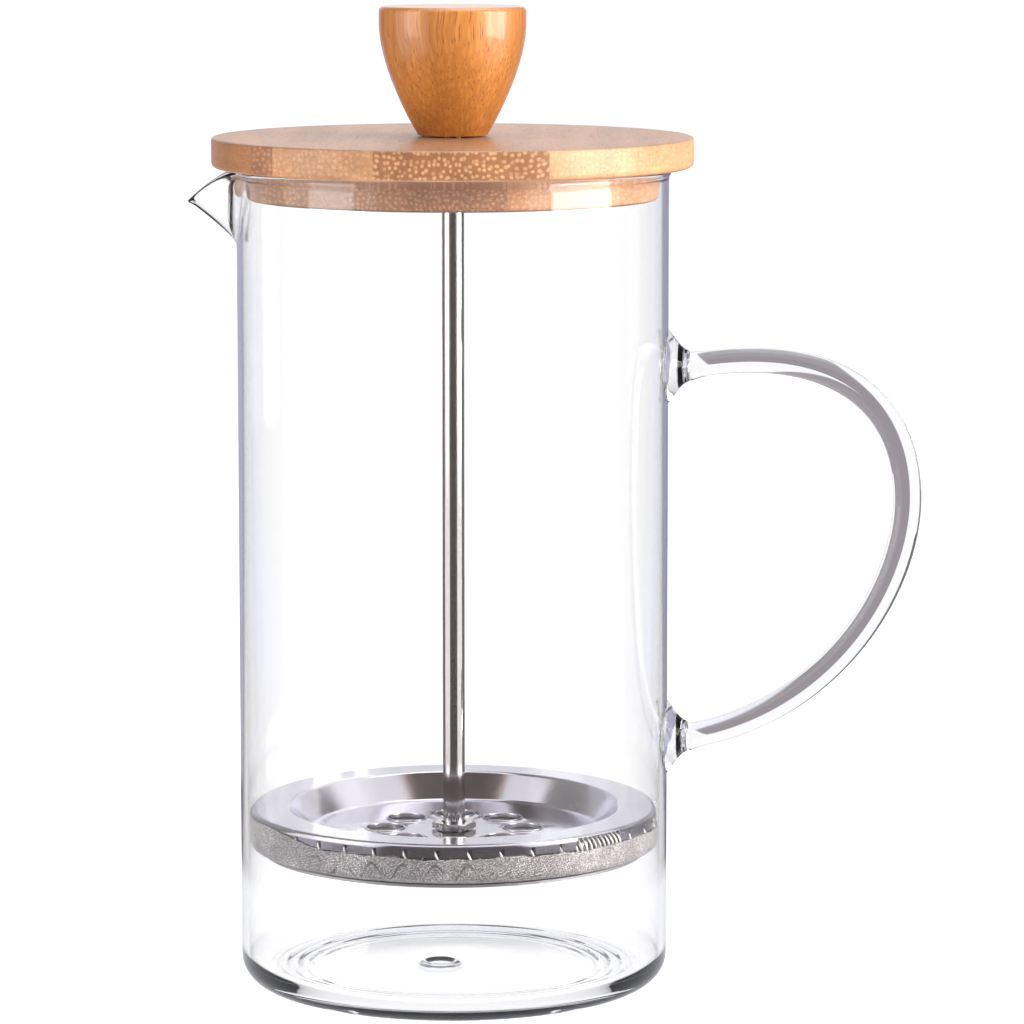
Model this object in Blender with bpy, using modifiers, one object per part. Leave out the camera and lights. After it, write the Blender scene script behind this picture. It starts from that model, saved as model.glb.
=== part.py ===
"""French press: a glass beaker with a glass rod handle, a two-board bamboo lid and a plunger.

The origin is the centre of the beaker's flat underside. +Z is up, +X points to the handle and -X to
the spout. The plunger stands fully pressed, with its knob down on the lid.
"""

import math

import bmesh
import bpy
from mathutils import Matrix

# Driving dimensions, in millimetres and degrees. MM turns them into metres.
MM = 0.001
GAP = 0.3

GLASS_RADIUS = 48.5
GLASS_WALL = 1.6
GLASS_FLOOR = 3.0
RIM_HEIGHT = 185.0
RIM_BEAD = 1.0
OUTER_CORNER = 6.0
INNER_CORNER = 4.6

SPOUT_REACH = 11.0
SPOUT_DROP = 7.2
SPOUT_BASE = 168.0
SPOUT_SPREAD = 5.5
SPOUT_CURVE = 1.2
SPOUT_CROWDING = 0.55

HANDLE_RADIUS = 3.1
HANDLE_NECK_X = 53.4
HANDLE_TOP_Z = 140.4
HANDLE_FOOT_Z = 55.7
HANDLE_OUTER_X = 102.55
HANDLE_OUTER_Z = 110.0
HANDLE_REACH = 33.3
HANDLE_RISE = 10.0
HANDLE_UPPER_BOW = 22.2
HANDLE_LOWER_BOW = 20.0
HANDLE_FLARE = ((51.7, 4.3), (50.0, 6.4), (GLASS_RADIUS + GAP, 8.0))

LID_RADIUS = 54.0
LID_THICKNESS = 6.7
LID_TOP_EDGE = 0.7
LID_LOWER_EDGE = 1.3
PLUG_TOP_RADIUS = 46.5
PLUG_LOWER_RADIUS = 46.1
PLUG_BOTTOM_Z = 178.3
PLUG_EDGE = 1.0
BUSH_RADIUS = 3.45

ROD_RADIUS = 2.5
ROD_BOTTOM_Z = 26.0
ROD_TOP_Z = 205.0
ROD_BORE = ROD_RADIUS + 0.35

KNOB_TOP_Z = 221.0
KNOB_WIDEST_Z = 217.4
KNOB_RADIUS = 16.5
KNOB_FOOT_RADIUS = 7.95
KNOB_TOP_EDGE = 1.2
KNOB_FOOT_RISE = 60.7
KNOB_FOOT_BOW = 7.4
KNOB_UPPER_BOW = 8.2
INSERT_RADIUS = 4.0

FLANGE_Z = 40.25
FLANGE_RADIUS = 46.1
FLANGE_INNER = 37.75
BAND_BOTTOM_Z = 37.3
DISH_FLOOR_Z = 34.3
DISH_FLOOR_RADIUS = 25.5
SHEET = 0.5
HOLE_COUNT = 8
HOLE_CIRCLE = 15.7
HOLE_RADIUS = 4.2
HOLE_LIP_RADIUS = 4.9
HOLE_LIP_HEIGHT = 1.1
NUT_CORNER_RADIUS = 5.0
NUT_TOP_Z = 36.0

SPRING_RING = 42.3
SPRING_COIL = 2.55
SPRING_WIRE = 0.35
SPRING_Z = 36.45
SPRING_TURNS = 32
SPRING_POINTS = 6

SKIRT_TOP_Z = 37.0
SKIRT_RADIUS = 46.5
CROSS_BOTTOM_Z = 30.1
CROSS_RADIUS = 43.4
CROSS_SHEET = 0.6
CROSS_STEP = 26.0
CROSS_ARMS = 4
ARM_HALF_WIDTH = 3.0
HUB_RADIUS = 4.4
HUB_FLANGE = 6.5
HUB_BOTTOM_Z = 25.5

SMOOTH_ANGLE = math.radians(35)
CLEAR_GLASS = (0.93, 0.95, 0.97, 0.35)
BAMBOO = (0.72, 0.46, 0.24, 1.0)
PALE_BAMBOO = (0.78, 0.52, 0.30, 1.0)
AMBER_BAMBOO = (0.73, 0.38, 0.12, 1.0)
POLISHED_STEEL = (0.70, 0.69, 0.71, 1.0)
WIRE_STEEL = (0.45, 0.42, 0.42, 1.0)
BRASS = (0.78, 0.60, 0.28, 1.0)


def clear_scene():
    """Remove whatever the startup file holds."""
    for item in list(bpy.data.objects):
        bpy.data.objects.remove(item, do_unlink=True)


def new_collection(name):
    """Make a collection in the scene."""
    collection = bpy.data.collections.new(name)
    bpy.context.scene.collection.children.link(collection)
    return collection


def new_material(name, colour, roughness, metallic):
    """Make a plain Principled material."""
    material = bpy.data.materials.new(name)
    material.use_nodes = True
    shader = material.node_tree.nodes["Principled BSDF"]
    shader.inputs["Base Color"].default_value = colour
    shader.inputs["Roughness"].default_value = roughness
    shader.inputs["Metallic"].default_value = metallic
    shader.inputs["Alpha"].default_value = colour[3]
    return material


def new_axis(name, height, parent=None):
    """Place an empty on the vertical centre line, at a height in millimetres."""
    axis = bpy.data.objects.new(name, None)
    press.objects.link(axis)
    base = parent.matrix_world.translation.z if parent else 0.0
    axis.parent = parent
    axis.location.z = height * MM - base
    bpy.context.view_layer.update()
    return axis


def arc(centre, radius, start, end, steps):
    """Points of an arc in an outline, from one angle in degrees to another."""
    points = []
    for step in range(steps + 1):
        angle = math.radians(start + (end - start) * step / steps)
        points.append((centre[0] + radius * math.cos(angle), centre[1] + radius * math.sin(angle)))
    return points


def bezier(start, start_handle, end_handle, end, steps):
    """Points of a cubic Bezier curve, ends included."""
    points = []
    for step in range(steps + 1):
        t = step / steps
        weights = ((1 - t) ** 3, 3 * t * (1 - t) ** 2, 3 * t * t * (1 - t), t ** 3)
        corners = (start, start_handle, end_handle, end)
        points.append(tuple(sum(w * c[k] for w, c in zip(weights, corners)) for k in (0, 1)))
    return points


def link_piece(obj, material, parent):
    """Put a piece in the press's collection, dress it, and hang it on its axis."""
    press.objects.link(obj)
    obj.data.materials.clear()
    obj.data.materials.append(material)
    obj.parent = parent
    return obj


def realise(obj):
    """Turn an object's modifiers into its own mesh, smooth where it is round."""
    bpy.context.view_layer.update()
    graph = bpy.context.evaluated_depsgraph_get()
    mesh = bpy.data.meshes.new_from_object(obj.evaluated_get(graph))
    shape = bmesh.new()
    shape.from_mesh(mesh)
    bmesh.ops.remove_doubles(shape, verts=shape.verts, dist=0.00001)
    bmesh.ops.recalc_face_normals(shape, faces=shape.faces)
    shape.to_mesh(mesh)
    shape.free()
    mesh.shade_smooth()
    mesh.set_sharp_from_angle(angle=SMOOTH_ANGLE)
    obj.modifiers.clear()
    obj.data = mesh
    return obj


def turned(name, outline, steps, material, parent=None, closed=True, sheet=0.0):
    """Turn an outline of (radius, height) points about Z.

    An outline runs down its outer side. A closed one is a ring's section, an open one starts and
    ends on the axis, or is the surface of a sheet that Solidify thickens inwards.
    """
    base = parent.matrix_world.translation.z if parent else 0.0
    mesh = bpy.data.meshes.new(name)
    count = len(outline)
    edges = [(index, (index + 1) % count) for index in range(count if closed else count - 1)]
    mesh.from_pydata([(r * MM, 0.0, z * MM - base) for r, z in outline], edges, [])
    obj = link_piece(bpy.data.objects.new(name, mesh), material, parent)
    screw = obj.modifiers.new("Turn", "SCREW")
    screw.steps = steps
    screw.render_steps = steps
    screw.use_merge_vertices = True
    screw.merge_threshold = 0.00001
    if sheet:
        solidify = obj.modifiers.new("Sheet", "SOLIDIFY")
        solidify.thickness = sheet * MM
        solidify.offset = -1.0
        solidify.use_even_offset = True
    return realise(obj)


def column(centres, radius, low, high, sides):
    """A helper mesh of upright cylinders, one at each centre."""
    shape = bmesh.new()
    for x, y in centres:
        size = {"radius1": radius * MM, "radius2": radius * MM, "depth": (high - low) * MM}
        made = bmesh.ops.create_cone(shape, cap_ends=True, segments=sides, **size)
        bmesh.ops.translate(shape, verts=made["verts"], vec=(x * MM, y * MM, (low + high) / 2 * MM))
    return shape


def new_cutter(name, shape):
    """Keep a helper shape out of the render, in the cutters' collection."""
    mesh = bpy.data.meshes.new(name)
    shape.to_mesh(mesh)
    shape.free()
    cutter = bpy.data.objects.new(name, mesh)
    cutters.objects.link(cutter)
    cutter.hide_render = True
    cutter.display_type = "WIRE"
    return cutter


def combine(obj, cutter, operation):
    """Join a helper to a piece, or cut it away, and keep the result as the piece's mesh."""
    boolean = obj.modifiers.new(cutter.name, "BOOLEAN")
    boolean.operation = operation
    boolean.object = cutter
    boolean.solver = "EXACT"
    return realise(obj)


def beaker_outline():
    """Section of the beaker: over the floor, up the inside, round the rim and down the outside."""
    inner = GLASS_RADIUS - GLASS_WALL
    middle = inner + RIM_BEAD
    bead_z = RIM_HEIGHT - RIM_BEAD
    rows = [SPOUT_BASE + (bead_z - 0.6 - SPOUT_BASE) * step / 5 for step in range(6)]
    outline = [(0.0, GLASS_FLOOR)]
    outline += arc((inner - INNER_CORNER, GLASS_FLOOR + INNER_CORNER), INNER_CORNER, -90, 0, 3)
    outline += [(inner, z) for z in rows]
    outline += arc((middle, bead_z), RIM_BEAD, 180, 0, 4)
    outline += [(GLASS_RADIUS, z) for z in reversed(rows)]
    outline += arc((GLASS_RADIUS - OUTER_CORNER, OUTER_CORNER), OUTER_CORNER, 0, -90, 4)
    return outline + [(0.0, 0.0)]


def pull_spout(mesh):
    """Crowd the beaker's columns of points towards -X, then draw the rim out and down into a spout."""
    spread = math.radians(SPOUT_SPREAD)
    for vertex in mesh.vertices:
        x, y, z = vertex.co
        radius = math.hypot(x, y)
        turn = math.atan2(y, -x)
        turn -= SPOUT_CROWDING * math.sin(turn)
        rise = max(0.0, (z / MM - SPOUT_BASE) / (RIM_HEIGHT - SPOUT_BASE))
        share = math.exp(-((turn / spread) ** 2))
        vertex.co.x = -radius * math.cos(turn) - SPOUT_REACH * MM * share * rise ** SPOUT_CURVE
        vertex.co.y = radius * math.sin(turn)
        vertex.co.z = z - SPOUT_DROP * MM * share * rise


def make_beaker():
    """The blown beaker, with its spout."""
    material = new_material("beaker_glass", CLEAR_GLASS, 0.02, 0.0)
    beaker = turned("glass_beaker", beaker_outline(), 72, material, closed=False)
    pull_spout(beaker.data)
    return beaker


def handle_route():
    """The handle's centre line as (x, z, radius): a flare, the bend, and a flare again."""
    rise = math.radians(HANDLE_RISE)
    across, up = HANDLE_REACH * math.cos(rise), HANDLE_REACH * math.sin(rise)
    widest = (HANDLE_OUTER_X, HANDLE_OUTER_Z)
    upper = bezier(
        (HANDLE_NECK_X, HANDLE_TOP_Z),
        (HANDLE_NECK_X + across, HANDLE_TOP_Z + up),
        (HANDLE_OUTER_X, HANDLE_OUTER_Z + HANDLE_UPPER_BOW),
        widest,
        12,
    )
    lower = bezier(
        widest,
        (HANDLE_OUTER_X, HANDLE_OUTER_Z - HANDLE_LOWER_BOW),
        (HANDLE_NECK_X + across, HANDLE_FOOT_Z + up),
        (HANDLE_NECK_X, HANDLE_FOOT_Z),
        12,
    )
    route = [(x, HANDLE_TOP_Z, radius) for x, radius in reversed(HANDLE_FLARE)]
    route += [(x, z, HANDLE_RADIUS) for x, z in upper + lower[1:]]
    return route + [(x, HANDLE_FOOT_Z, radius) for x, radius in HANDLE_FLARE]


def make_handle():
    """The bent glass rod, flared where it meets the beaker's wall."""
    route = handle_route()
    curve = bpy.data.curves.new("handle_route", "CURVE")
    curve.dimensions = "3D"
    curve.bevel_depth = HANDLE_RADIUS * MM
    curve.bevel_resolution = 3
    curve.use_fill_caps = True
    spline = curve.splines.new("POLY")
    spline.points.add(len(route) - 1)
    for point, (x, z, radius) in zip(spline.points, route):
        point.co = (x * MM, 0.0, z * MM, 1.0)
        point.radius = radius / HANDLE_RADIUS
    handle = bpy.data.objects.new("handle_route", curve)
    press.objects.link(handle)
    return solid_from_curve(handle, "glass_handle", new_material("handle_glass", CLEAR_GLASS, 0.02, 0.0))


def solid_from_curve(curve_object, name, material, parent=None):
    """Replace a curve by a closed mesh of the same tube."""
    bpy.context.view_layer.update()
    graph = bpy.context.evaluated_depsgraph_get()
    mesh = bpy.data.meshes.new_from_object(curve_object.evaluated_get(graph))
    mesh.name = name
    bpy.data.objects.remove(curve_object, do_unlink=True)
    return realise(link_piece(bpy.data.objects.new(name, mesh), material, parent))


def make_lid(parent):
    """The two glued boards of the lid and the guide sleeve through them."""
    bottom = RIM_HEIGHT + GAP
    top = bottom + LID_THICKNESS
    bore = BUSH_RADIUS + GAP
    disc = [(bore, top)]
    disc += arc((LID_RADIUS - LID_TOP_EDGE, top - LID_TOP_EDGE), LID_TOP_EDGE, 90, 0, 2)
    disc += arc((LID_RADIUS - LID_LOWER_EDGE, bottom + LID_LOWER_EDGE), LID_LOWER_EDGE, 0, -90, 3)
    disc += [(bore, bottom)]
    turned("lid_disc", disc, 56, new_material("disc_bamboo", BAMBOO, 0.45, 0.0), parent)
    plug = [(bore, RIM_HEIGHT), (PLUG_TOP_RADIUS, RIM_HEIGHT)]
    plug += arc((PLUG_LOWER_RADIUS - PLUG_EDGE, PLUG_BOTTOM_Z + PLUG_EDGE), PLUG_EDGE, 0, -90, 2)
    plug += [(bore, PLUG_BOTTOM_Z)]
    turned("lid_plug", plug, 56, new_material("plug_bamboo", PALE_BAMBOO, 0.5, 0.0), parent)
    sleeve = [(ROD_BORE, top), (BUSH_RADIUS, top), (BUSH_RADIUS, PLUG_BOTTOM_Z), (ROD_BORE, PLUG_BOTTOM_Z)]
    turned("lid_bush", sleeve, 24, new_material("bush_steel", POLISHED_STEEL, 0.25, 1.0), parent)


def make_rod(parent):
    """The plunger rod and the thin hexagonal nut that bears on the filter."""
    rod = [
        (0.0, ROD_TOP_Z),
        (ROD_RADIUS - 0.4, ROD_TOP_Z),
        (ROD_RADIUS, ROD_TOP_Z - 0.4),
        (ROD_RADIUS, ROD_BOTTOM_Z + 0.4),
        (ROD_RADIUS - 0.4, ROD_BOTTOM_Z),
        (0.0, ROD_BOTTOM_Z),
    ]
    turned("plunger_rod", rod, 24, new_material("rod_steel", POLISHED_STEEL, 0.12, 1.0), parent, closed=False)
    low = DISH_FLOOR_Z + GAP
    chamfer = 0.35
    nut = [
        (ROD_BORE, NUT_TOP_Z),
        (NUT_CORNER_RADIUS - 2 * chamfer, NUT_TOP_Z),
        (NUT_CORNER_RADIUS, NUT_TOP_Z - chamfer),
        (NUT_CORNER_RADIUS, low),
        (ROD_BORE, low),
    ]
    nut_steel = new_material("nut_steel", POLISHED_STEEL, 0.2, 1.0)
    blank = turned("lock_nut", nut, 24, nut_steel, parent)
    base = parent.matrix_world.translation.z / MM
    hexagon = column([(0.0, 0.0)], NUT_CORNER_RADIUS, low - base - 1.0, NUT_TOP_Z - base + 1.0, 6)
    half_flat = Matrix.Rotation(math.radians(30), 3, "Z")
    bmesh.ops.rotate(hexagon, verts=hexagon.verts, cent=(0, 0, 0), matrix=half_flat)
    prism = new_cutter("nut_prism", hexagon)
    prism.parent = parent
    combine(blank, prism, "INTERSECT")


def make_knob(parent):
    """The turned knob and its threaded insert."""
    foot = RIM_HEIGHT + 2 * GAP + LID_THICKNESS
    rise = math.radians(KNOB_FOOT_RISE)
    side = bezier(
        (KNOB_RADIUS, KNOB_WIDEST_Z),
        (KNOB_RADIUS, KNOB_WIDEST_Z - KNOB_UPPER_BOW),
        (KNOB_FOOT_RADIUS + KNOB_FOOT_BOW * math.cos(rise), foot + KNOB_FOOT_BOW * math.sin(rise)),
        (KNOB_FOOT_RADIUS, foot),
        9,
    )
    cavity = INSERT_RADIUS + GAP
    roof = ROD_TOP_Z + 3 * GAP
    knob = [(0.0, KNOB_TOP_Z)]
    knob += arc((KNOB_RADIUS - KNOB_TOP_EDGE, KNOB_TOP_Z - KNOB_TOP_EDGE), KNOB_TOP_EDGE, 90, 0, 3)
    knob += side + [(cavity, foot), (cavity, roof + GAP), (0.0, roof + GAP)]
    turned("knob", knob, 36, new_material("knob_bamboo", AMBER_BAMBOO, 0.3, 0.0), parent, closed=False)
    insert = [
        (0.0, roof),
        (INSERT_RADIUS, roof),
        (INSERT_RADIUS, foot + GAP),
        (ROD_BORE, foot + GAP),
        (ROD_BORE, roof - 2 * GAP),
        (0.0, roof - 2 * GAP),
    ]
    turned("knob_insert", insert, 24, new_material("insert_brass", BRASS, 0.35, 1.0), parent, closed=False)


def make_spiral_plate(parent):
    """The filter's dished top plate, with lipped holes and a turned-down rim band."""
    bend = 1.2
    wall = bezier(
        (FLANGE_INNER, FLANGE_Z),
        (FLANGE_INNER - 2.5, FLANGE_Z - 0.6),
        (DISH_FLOOR_RADIUS + 6.0, DISH_FLOOR_Z),
        (DISH_FLOOR_RADIUS, DISH_FLOOR_Z),
        5,
    )
    surface = [(ROD_BORE, DISH_FLOOR_Z)] + wall[::-1]
    surface += arc((FLANGE_RADIUS - bend, FLANGE_Z - bend), bend, 90, 0, 2)
    surface += [(FLANGE_RADIUS, BAND_BOTTOM_Z)]
    steel = new_material("plate_steel", POLISHED_STEEL, 0.15, 1.0)
    plate = turned("spiral_plate", surface, 56, steel, parent, closed=False, sheet=SHEET)
    base = parent.matrix_world.translation.z / MM
    ring = []
    for index in range(HOLE_COUNT):
        angle = 2 * math.pi * index / HOLE_COUNT
        ring.append((HOLE_CIRCLE * math.cos(angle), HOLE_CIRCLE * math.sin(angle)))
    floor = DISH_FLOOR_Z - base
    lips = column(ring, HOLE_LIP_RADIUS, floor - SHEET / 2, floor + HOLE_LIP_HEIGHT, 14)
    holes = column(ring, HOLE_RADIUS, floor - 2.0, floor + 2.0, 14)
    for name, shape, operation in (("hole_lips", lips, "UNION"), ("plate_holes", holes, "DIFFERENCE")):
        cutter = new_cutter(name, shape)
        cutter.parent = parent
        combine(plate, cutter, operation)


def make_coil_spring(parent):
    """The coil spring laid round as a ring, inside the rim band."""
    curve = bpy.data.curves.new("spring_route", "CURVE")
    curve.dimensions = "3D"
    curve.bevel_depth = SPRING_WIRE * MM
    curve.bevel_resolution = 0
    spline = curve.splines.new("POLY")
    total = SPRING_TURNS * SPRING_POINTS
    spline.points.add(total - 1)
    base = parent.matrix_world.translation.z
    for index, point in enumerate(spline.points):
        around = 2 * math.pi * index / total
        coil = 2 * math.pi * index / SPRING_POINTS
        radius = (SPRING_RING + SPRING_COIL * math.cos(coil)) * MM
        height = (SPRING_Z + SPRING_COIL * math.sin(coil)) * MM - base
        point.co = (radius * math.cos(around), radius * math.sin(around), height, 1.0)
    spline.use_cyclic_u = True
    spring = bpy.data.objects.new("spring_route", curve)
    press.objects.link(spring)
    solid_from_curve(spring, "coil_spring", new_material("spring_steel", WIRE_STEEL, 0.25, 1.0), parent)


def make_mesh_screen(parent):
    """The woven screen: flat in the middle, a trough under the spring, and an upturned skirt."""
    centre = DISH_FLOOR_Z - SHEET - GAP
    trough = CROSS_BOTTOM_Z + CROSS_SHEET + GAP + SHEET
    skirt = SKIRT_RADIUS - SHEET
    surface = [(skirt, SKIRT_TOP_Z), (skirt - 0.2, 34.2), (skirt - 1.0, 32.5), (44.0, trough)]
    surface += [(32.0, trough), (27.5, centre), (ROD_BORE, centre)]
    woven = new_material("screen_wire", WIRE_STEEL, 0.45, 1.0)
    turned("mesh_screen", surface, 56, woven, parent, closed=False, sheet=-SHEET)


def arm_gaps(low, high):
    """A helper mesh of the openings between the cross plate's arms."""
    shape = bmesh.new()
    inner, outer = HUB_FLANGE + 1.5, CROSS_STEP - 2.5
    for arm in range(CROSS_ARMS):
        start = 360 * arm / CROSS_ARMS
        corners = []
        for radius, steps, sign in ((inner, 3, 1), (outer, 7, -1)):
            lean = math.degrees(math.asin(ARM_HALF_WIDTH / radius))
            first, last = start + lean, start + 360 / CROSS_ARMS - lean
            points = arc((0.0, 0.0), radius, first, last, steps)
            corners += points[::sign]
        floor = [shape.verts.new((x * MM, y * MM, low * MM)) for x, y in corners]
        face = shape.faces.new(floor)
        grown = bmesh.ops.extrude_face_region(shape, geom=[face])
        raised = [item for item in grown["geom"] if isinstance(item, bmesh.types.BMVert)]
        bmesh.ops.translate(shape, verts=raised, vec=(0, 0, (high - low) * MM))
    bmesh.ops.recalc_face_normals(shape, faces=shape.faces)
    return shape


def make_cross_plate(parent):
    """The bottom plate with its arms, and the threaded hub that screws onto the rod."""
    raised = DISH_FLOOR_Z - 2 * (SHEET + GAP) - CROSS_SHEET
    low = CROSS_BOTTOM_Z
    surface = [(HUB_RADIUS + GAP, raised), (CROSS_STEP, raised), (CROSS_STEP + 4.0, low), (CROSS_RADIUS, low)]
    steel = new_material("cross_steel", POLISHED_STEEL, 0.3, 1.0)
    plate = turned("cross_plate", surface, 56, steel, parent, closed=False, sheet=-CROSS_SHEET)
    base = parent.matrix_world.translation.z / MM
    cutter = new_cutter("cross_openings", arm_gaps(low - base - 4.0, low - base + 6.0))
    cutter.parent = parent
    combine(plate, cutter, "DIFFERENCE")
    hub = [
        (ROD_BORE, raised + CROSS_SHEET),
        (HUB_RADIUS, raised + CROSS_SHEET),
        (HUB_RADIUS, raised - GAP),
        (HUB_FLANGE, raised - GAP),
        (HUB_FLANGE, raised - GAP - 1.5),
        (HUB_RADIUS, raised - GAP - 2.2),
        (HUB_RADIUS, HUB_BOTTOM_Z),
        (ROD_BORE, HUB_BOTTOM_Z),
    ]
    turned("cross_plate_hub", hub, 24, new_material("hub_steel", POLISHED_STEEL, 0.3, 1.0), parent)


clear_scene()
press = new_collection("french_press")
cutters = new_collection("cutters")
make_beaker()
make_handle()
lid_axis = new_axis("lid_axis", RIM_HEIGHT)
make_lid(lid_axis)
plunger_axis = new_axis("plunger_axis", FLANGE_Z, lid_axis)
make_rod(plunger_axis)
make_knob(plunger_axis)
filter_axis = new_axis("filter_axis", DISH_FLOOR_Z, plunger_axis)
make_spiral_plate(filter_axis)
make_coil_spring(filter_axis)
make_mesh_screen(filter_axis)
make_cross_plate(filter_axis)
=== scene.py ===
"""Looks of a glass french press: a blown beaker with a bent rod handle, a two-board bamboo lid and a
steel plunger whose filter stands pressed near the floor.

Every size is in millimetres and becomes metres when a mesh or a light is made. The origin is the
centre of the beaker's underside, +Z is up, +X points to the handle and -X to the spout.
"""

import enum
import logging
import math
from collections.abc import Callable, Sequence
from dataclasses import dataclass, field
from functools import partial, reduce

import bmesh
import bpy
import numpy as np
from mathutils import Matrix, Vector


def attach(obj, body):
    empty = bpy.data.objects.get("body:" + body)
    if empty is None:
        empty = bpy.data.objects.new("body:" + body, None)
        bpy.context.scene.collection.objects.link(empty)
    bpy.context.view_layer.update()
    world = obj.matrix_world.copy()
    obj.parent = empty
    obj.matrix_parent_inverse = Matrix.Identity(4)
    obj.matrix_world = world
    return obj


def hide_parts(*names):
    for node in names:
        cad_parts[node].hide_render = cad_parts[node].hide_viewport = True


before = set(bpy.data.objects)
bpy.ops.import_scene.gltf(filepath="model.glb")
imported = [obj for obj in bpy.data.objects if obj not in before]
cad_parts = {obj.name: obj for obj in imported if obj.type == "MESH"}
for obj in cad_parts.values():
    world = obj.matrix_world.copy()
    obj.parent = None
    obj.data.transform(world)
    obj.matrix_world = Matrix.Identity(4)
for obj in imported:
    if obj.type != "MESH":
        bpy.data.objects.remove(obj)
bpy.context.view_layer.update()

log = logging.getLogger("french_press")

MM = 0.001
Outline = list[tuple[float, float]]
Socket = bpy.types.NodeSocket
Value = Socket | float | tuple[float, ...]
Colour = tuple[float, float, float, float]


def tone(red: int, green: int, blue: int) -> Colour:
    """A display colour, 0 to 255 a channel, as the linear colour that a shader takes."""
    channels = []
    for value in (red, green, blue):
        share = value / 255
        channels.append(share / 12.92 if share <= 0.04045 else ((share + 0.055) / 1.055) ** 2.4)
    return (channels[0], channels[1], channels[2], 1.0)


# What the studio shows from each side. Above 1, a side is brighter than the paper.
WHITE: Colour = (1.02, 1.02, 1.02, 1.0)
SOFT_WHITE: Colour = (1.3, 1.27, 1.25, 1.0)
LEFT_LAVENDER: Colour = (0.56, 0.54, 0.66, 1.0)
RIGHT_LAVENDER: Colour = (0.30, 0.30, 0.40, 1.0)
SIDE_GREY: Colour = (0.17, 0.155, 0.16, 1.0)
FRONT_DARK: Colour = (0.08, 0.062, 0.062, 1.0)
ROD_MAUVE: Colour = (0.32, 0.285, 0.31, 1.0)
ROD_DARK: Colour = (0.06, 0.075, 0.09, 1.0)
ROD_TOP: Colour = (0.42, 0.42, 0.43, 1.0)
WALL_WHITE: Colour = (1.16, 1.16, 1.16, 1.0)
WALL_LAVENDER: Colour = (1.16, 1.18, 1.32, 1.0)
SHEEN_LAVENDER: Colour = (0.44, 0.43, 0.54, 1.0)
HORIZON: Colour = (0.98, 0.98, 1.0, 1.0)
HIGH_WHITE: Colour = (1.35, 1.33, 1.31, 1.0)
HIGH_DARK: Colour = (0.10, 0.075, 0.07, 1.0)
UNDER_PALE: Colour = (0.9, 0.91, 0.97, 1.0)
NEAR_GREY: Colour = (0.34, 0.33, 0.36, 1.0)
NEAR_SIDE: Colour = (0.13, 0.12, 0.125, 1.0)


# Shapes ------------------------------------------------------------------------------------------


def arc(centre: tuple[float, float], radius: float, start: float, end: float, steps: int) -> Outline:
    """Points of an arc in an outline, from one angle in degrees to another."""
    angles = np.radians(np.linspace(start, end, steps + 1))
    return [(centre[0] + radius * math.cos(a), centre[1] + radius * math.sin(a)) for a in angles]


def bezier(corners: Sequence[tuple[float, float]], steps: int) -> Outline:
    """Points of a cubic Bezier curve, ends included.

    Args:
        corners: The start, its handle, the end's handle and the end.
        steps: How many pieces the curve is cut into.

    Returns:
        The points from start to end.
    """
    t = np.linspace(0.0, 1.0, steps + 1)[:, None]
    a, b, c, d = (np.array(corner) for corner in corners)
    points = (1 - t) ** 3 * a + 3 * t * (1 - t) ** 2 * b + 3 * t * t * (1 - t) * c + t**3 * d
    return [(float(x), float(y)) for x, y in points]


def line(start: tuple[float, float], end: tuple[float, float], steps: int) -> Outline:
    """Evenly spaced points of a straight line, ends included."""
    return [(float(x), float(y)) for x, y in np.linspace(start, end, steps + 1)]


@dataclass
class Shell:
    """Points in millimetres and the faces between them, before Blender makes a mesh of them."""

    points: np.ndarray
    faces: list[tuple[int, ...]]

    def joined(self, other: "Shell") -> "Shell":
        """Both shells as one."""
        start = len(self.points)
        moved = [tuple(index + start for index in face) for face in other.faces]
        return Shell(np.vstack([self.points, other.points]), self.faces + moved)

    def moved(self, x: float, y: float, z: float) -> "Shell":
        """The same shell in another place."""
        return Shell(self.points + np.array([x, y, z]), self.faces)

    def bent(self, rule: Callable[[np.ndarray], np.ndarray]) -> "Shell":
        """The shell with every point moved by a rule."""
        return Shell(rule(self.points), self.faces)


def turned(outline: Outline, turns: Sequence[float] | int, closed: bool = False) -> Shell:
    """Revolve an outline about the Z axis.

    Args:
        outline: Points as (radius, height). A radius of nought becomes a single point.
        turns: How many even steps make the round, or the angle of each column in radians.
        closed: Whether the last point of the outline joins the first.

    Returns:
        The shell, with four-sided faces and three-sided ones round a single point.
    """
    angles = np.linspace(0, 2 * math.pi, turns, endpoint=False) if isinstance(turns, int) else turns
    count = len(angles)
    points: list[tuple[float, float, float]] = []
    rows: list[list[int]] = []
    for radius, height in outline:
        if radius < 1e-6:
            rows.append([len(points)] * count)
            points.append((0.0, 0.0, height))
            continue
        rows.append(list(range(len(points), len(points) + count)))
        points += [(radius * math.cos(a), radius * math.sin(a), height) for a in angles]
    faces = []
    pairs = list(zip(rows, rows[1:] + rows[:1])) if closed else list(zip(rows, rows[1:]))
    for upper, lower in pairs:
        for column in range(count):
            after = (column + 1) % count
            corners = (upper[column], upper[after], lower[after], lower[column])
            faces.append(tuple(dict.fromkeys(corners)))
    return Shell(np.array(points), [face for face in faces if len(face) > 2])


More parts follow.
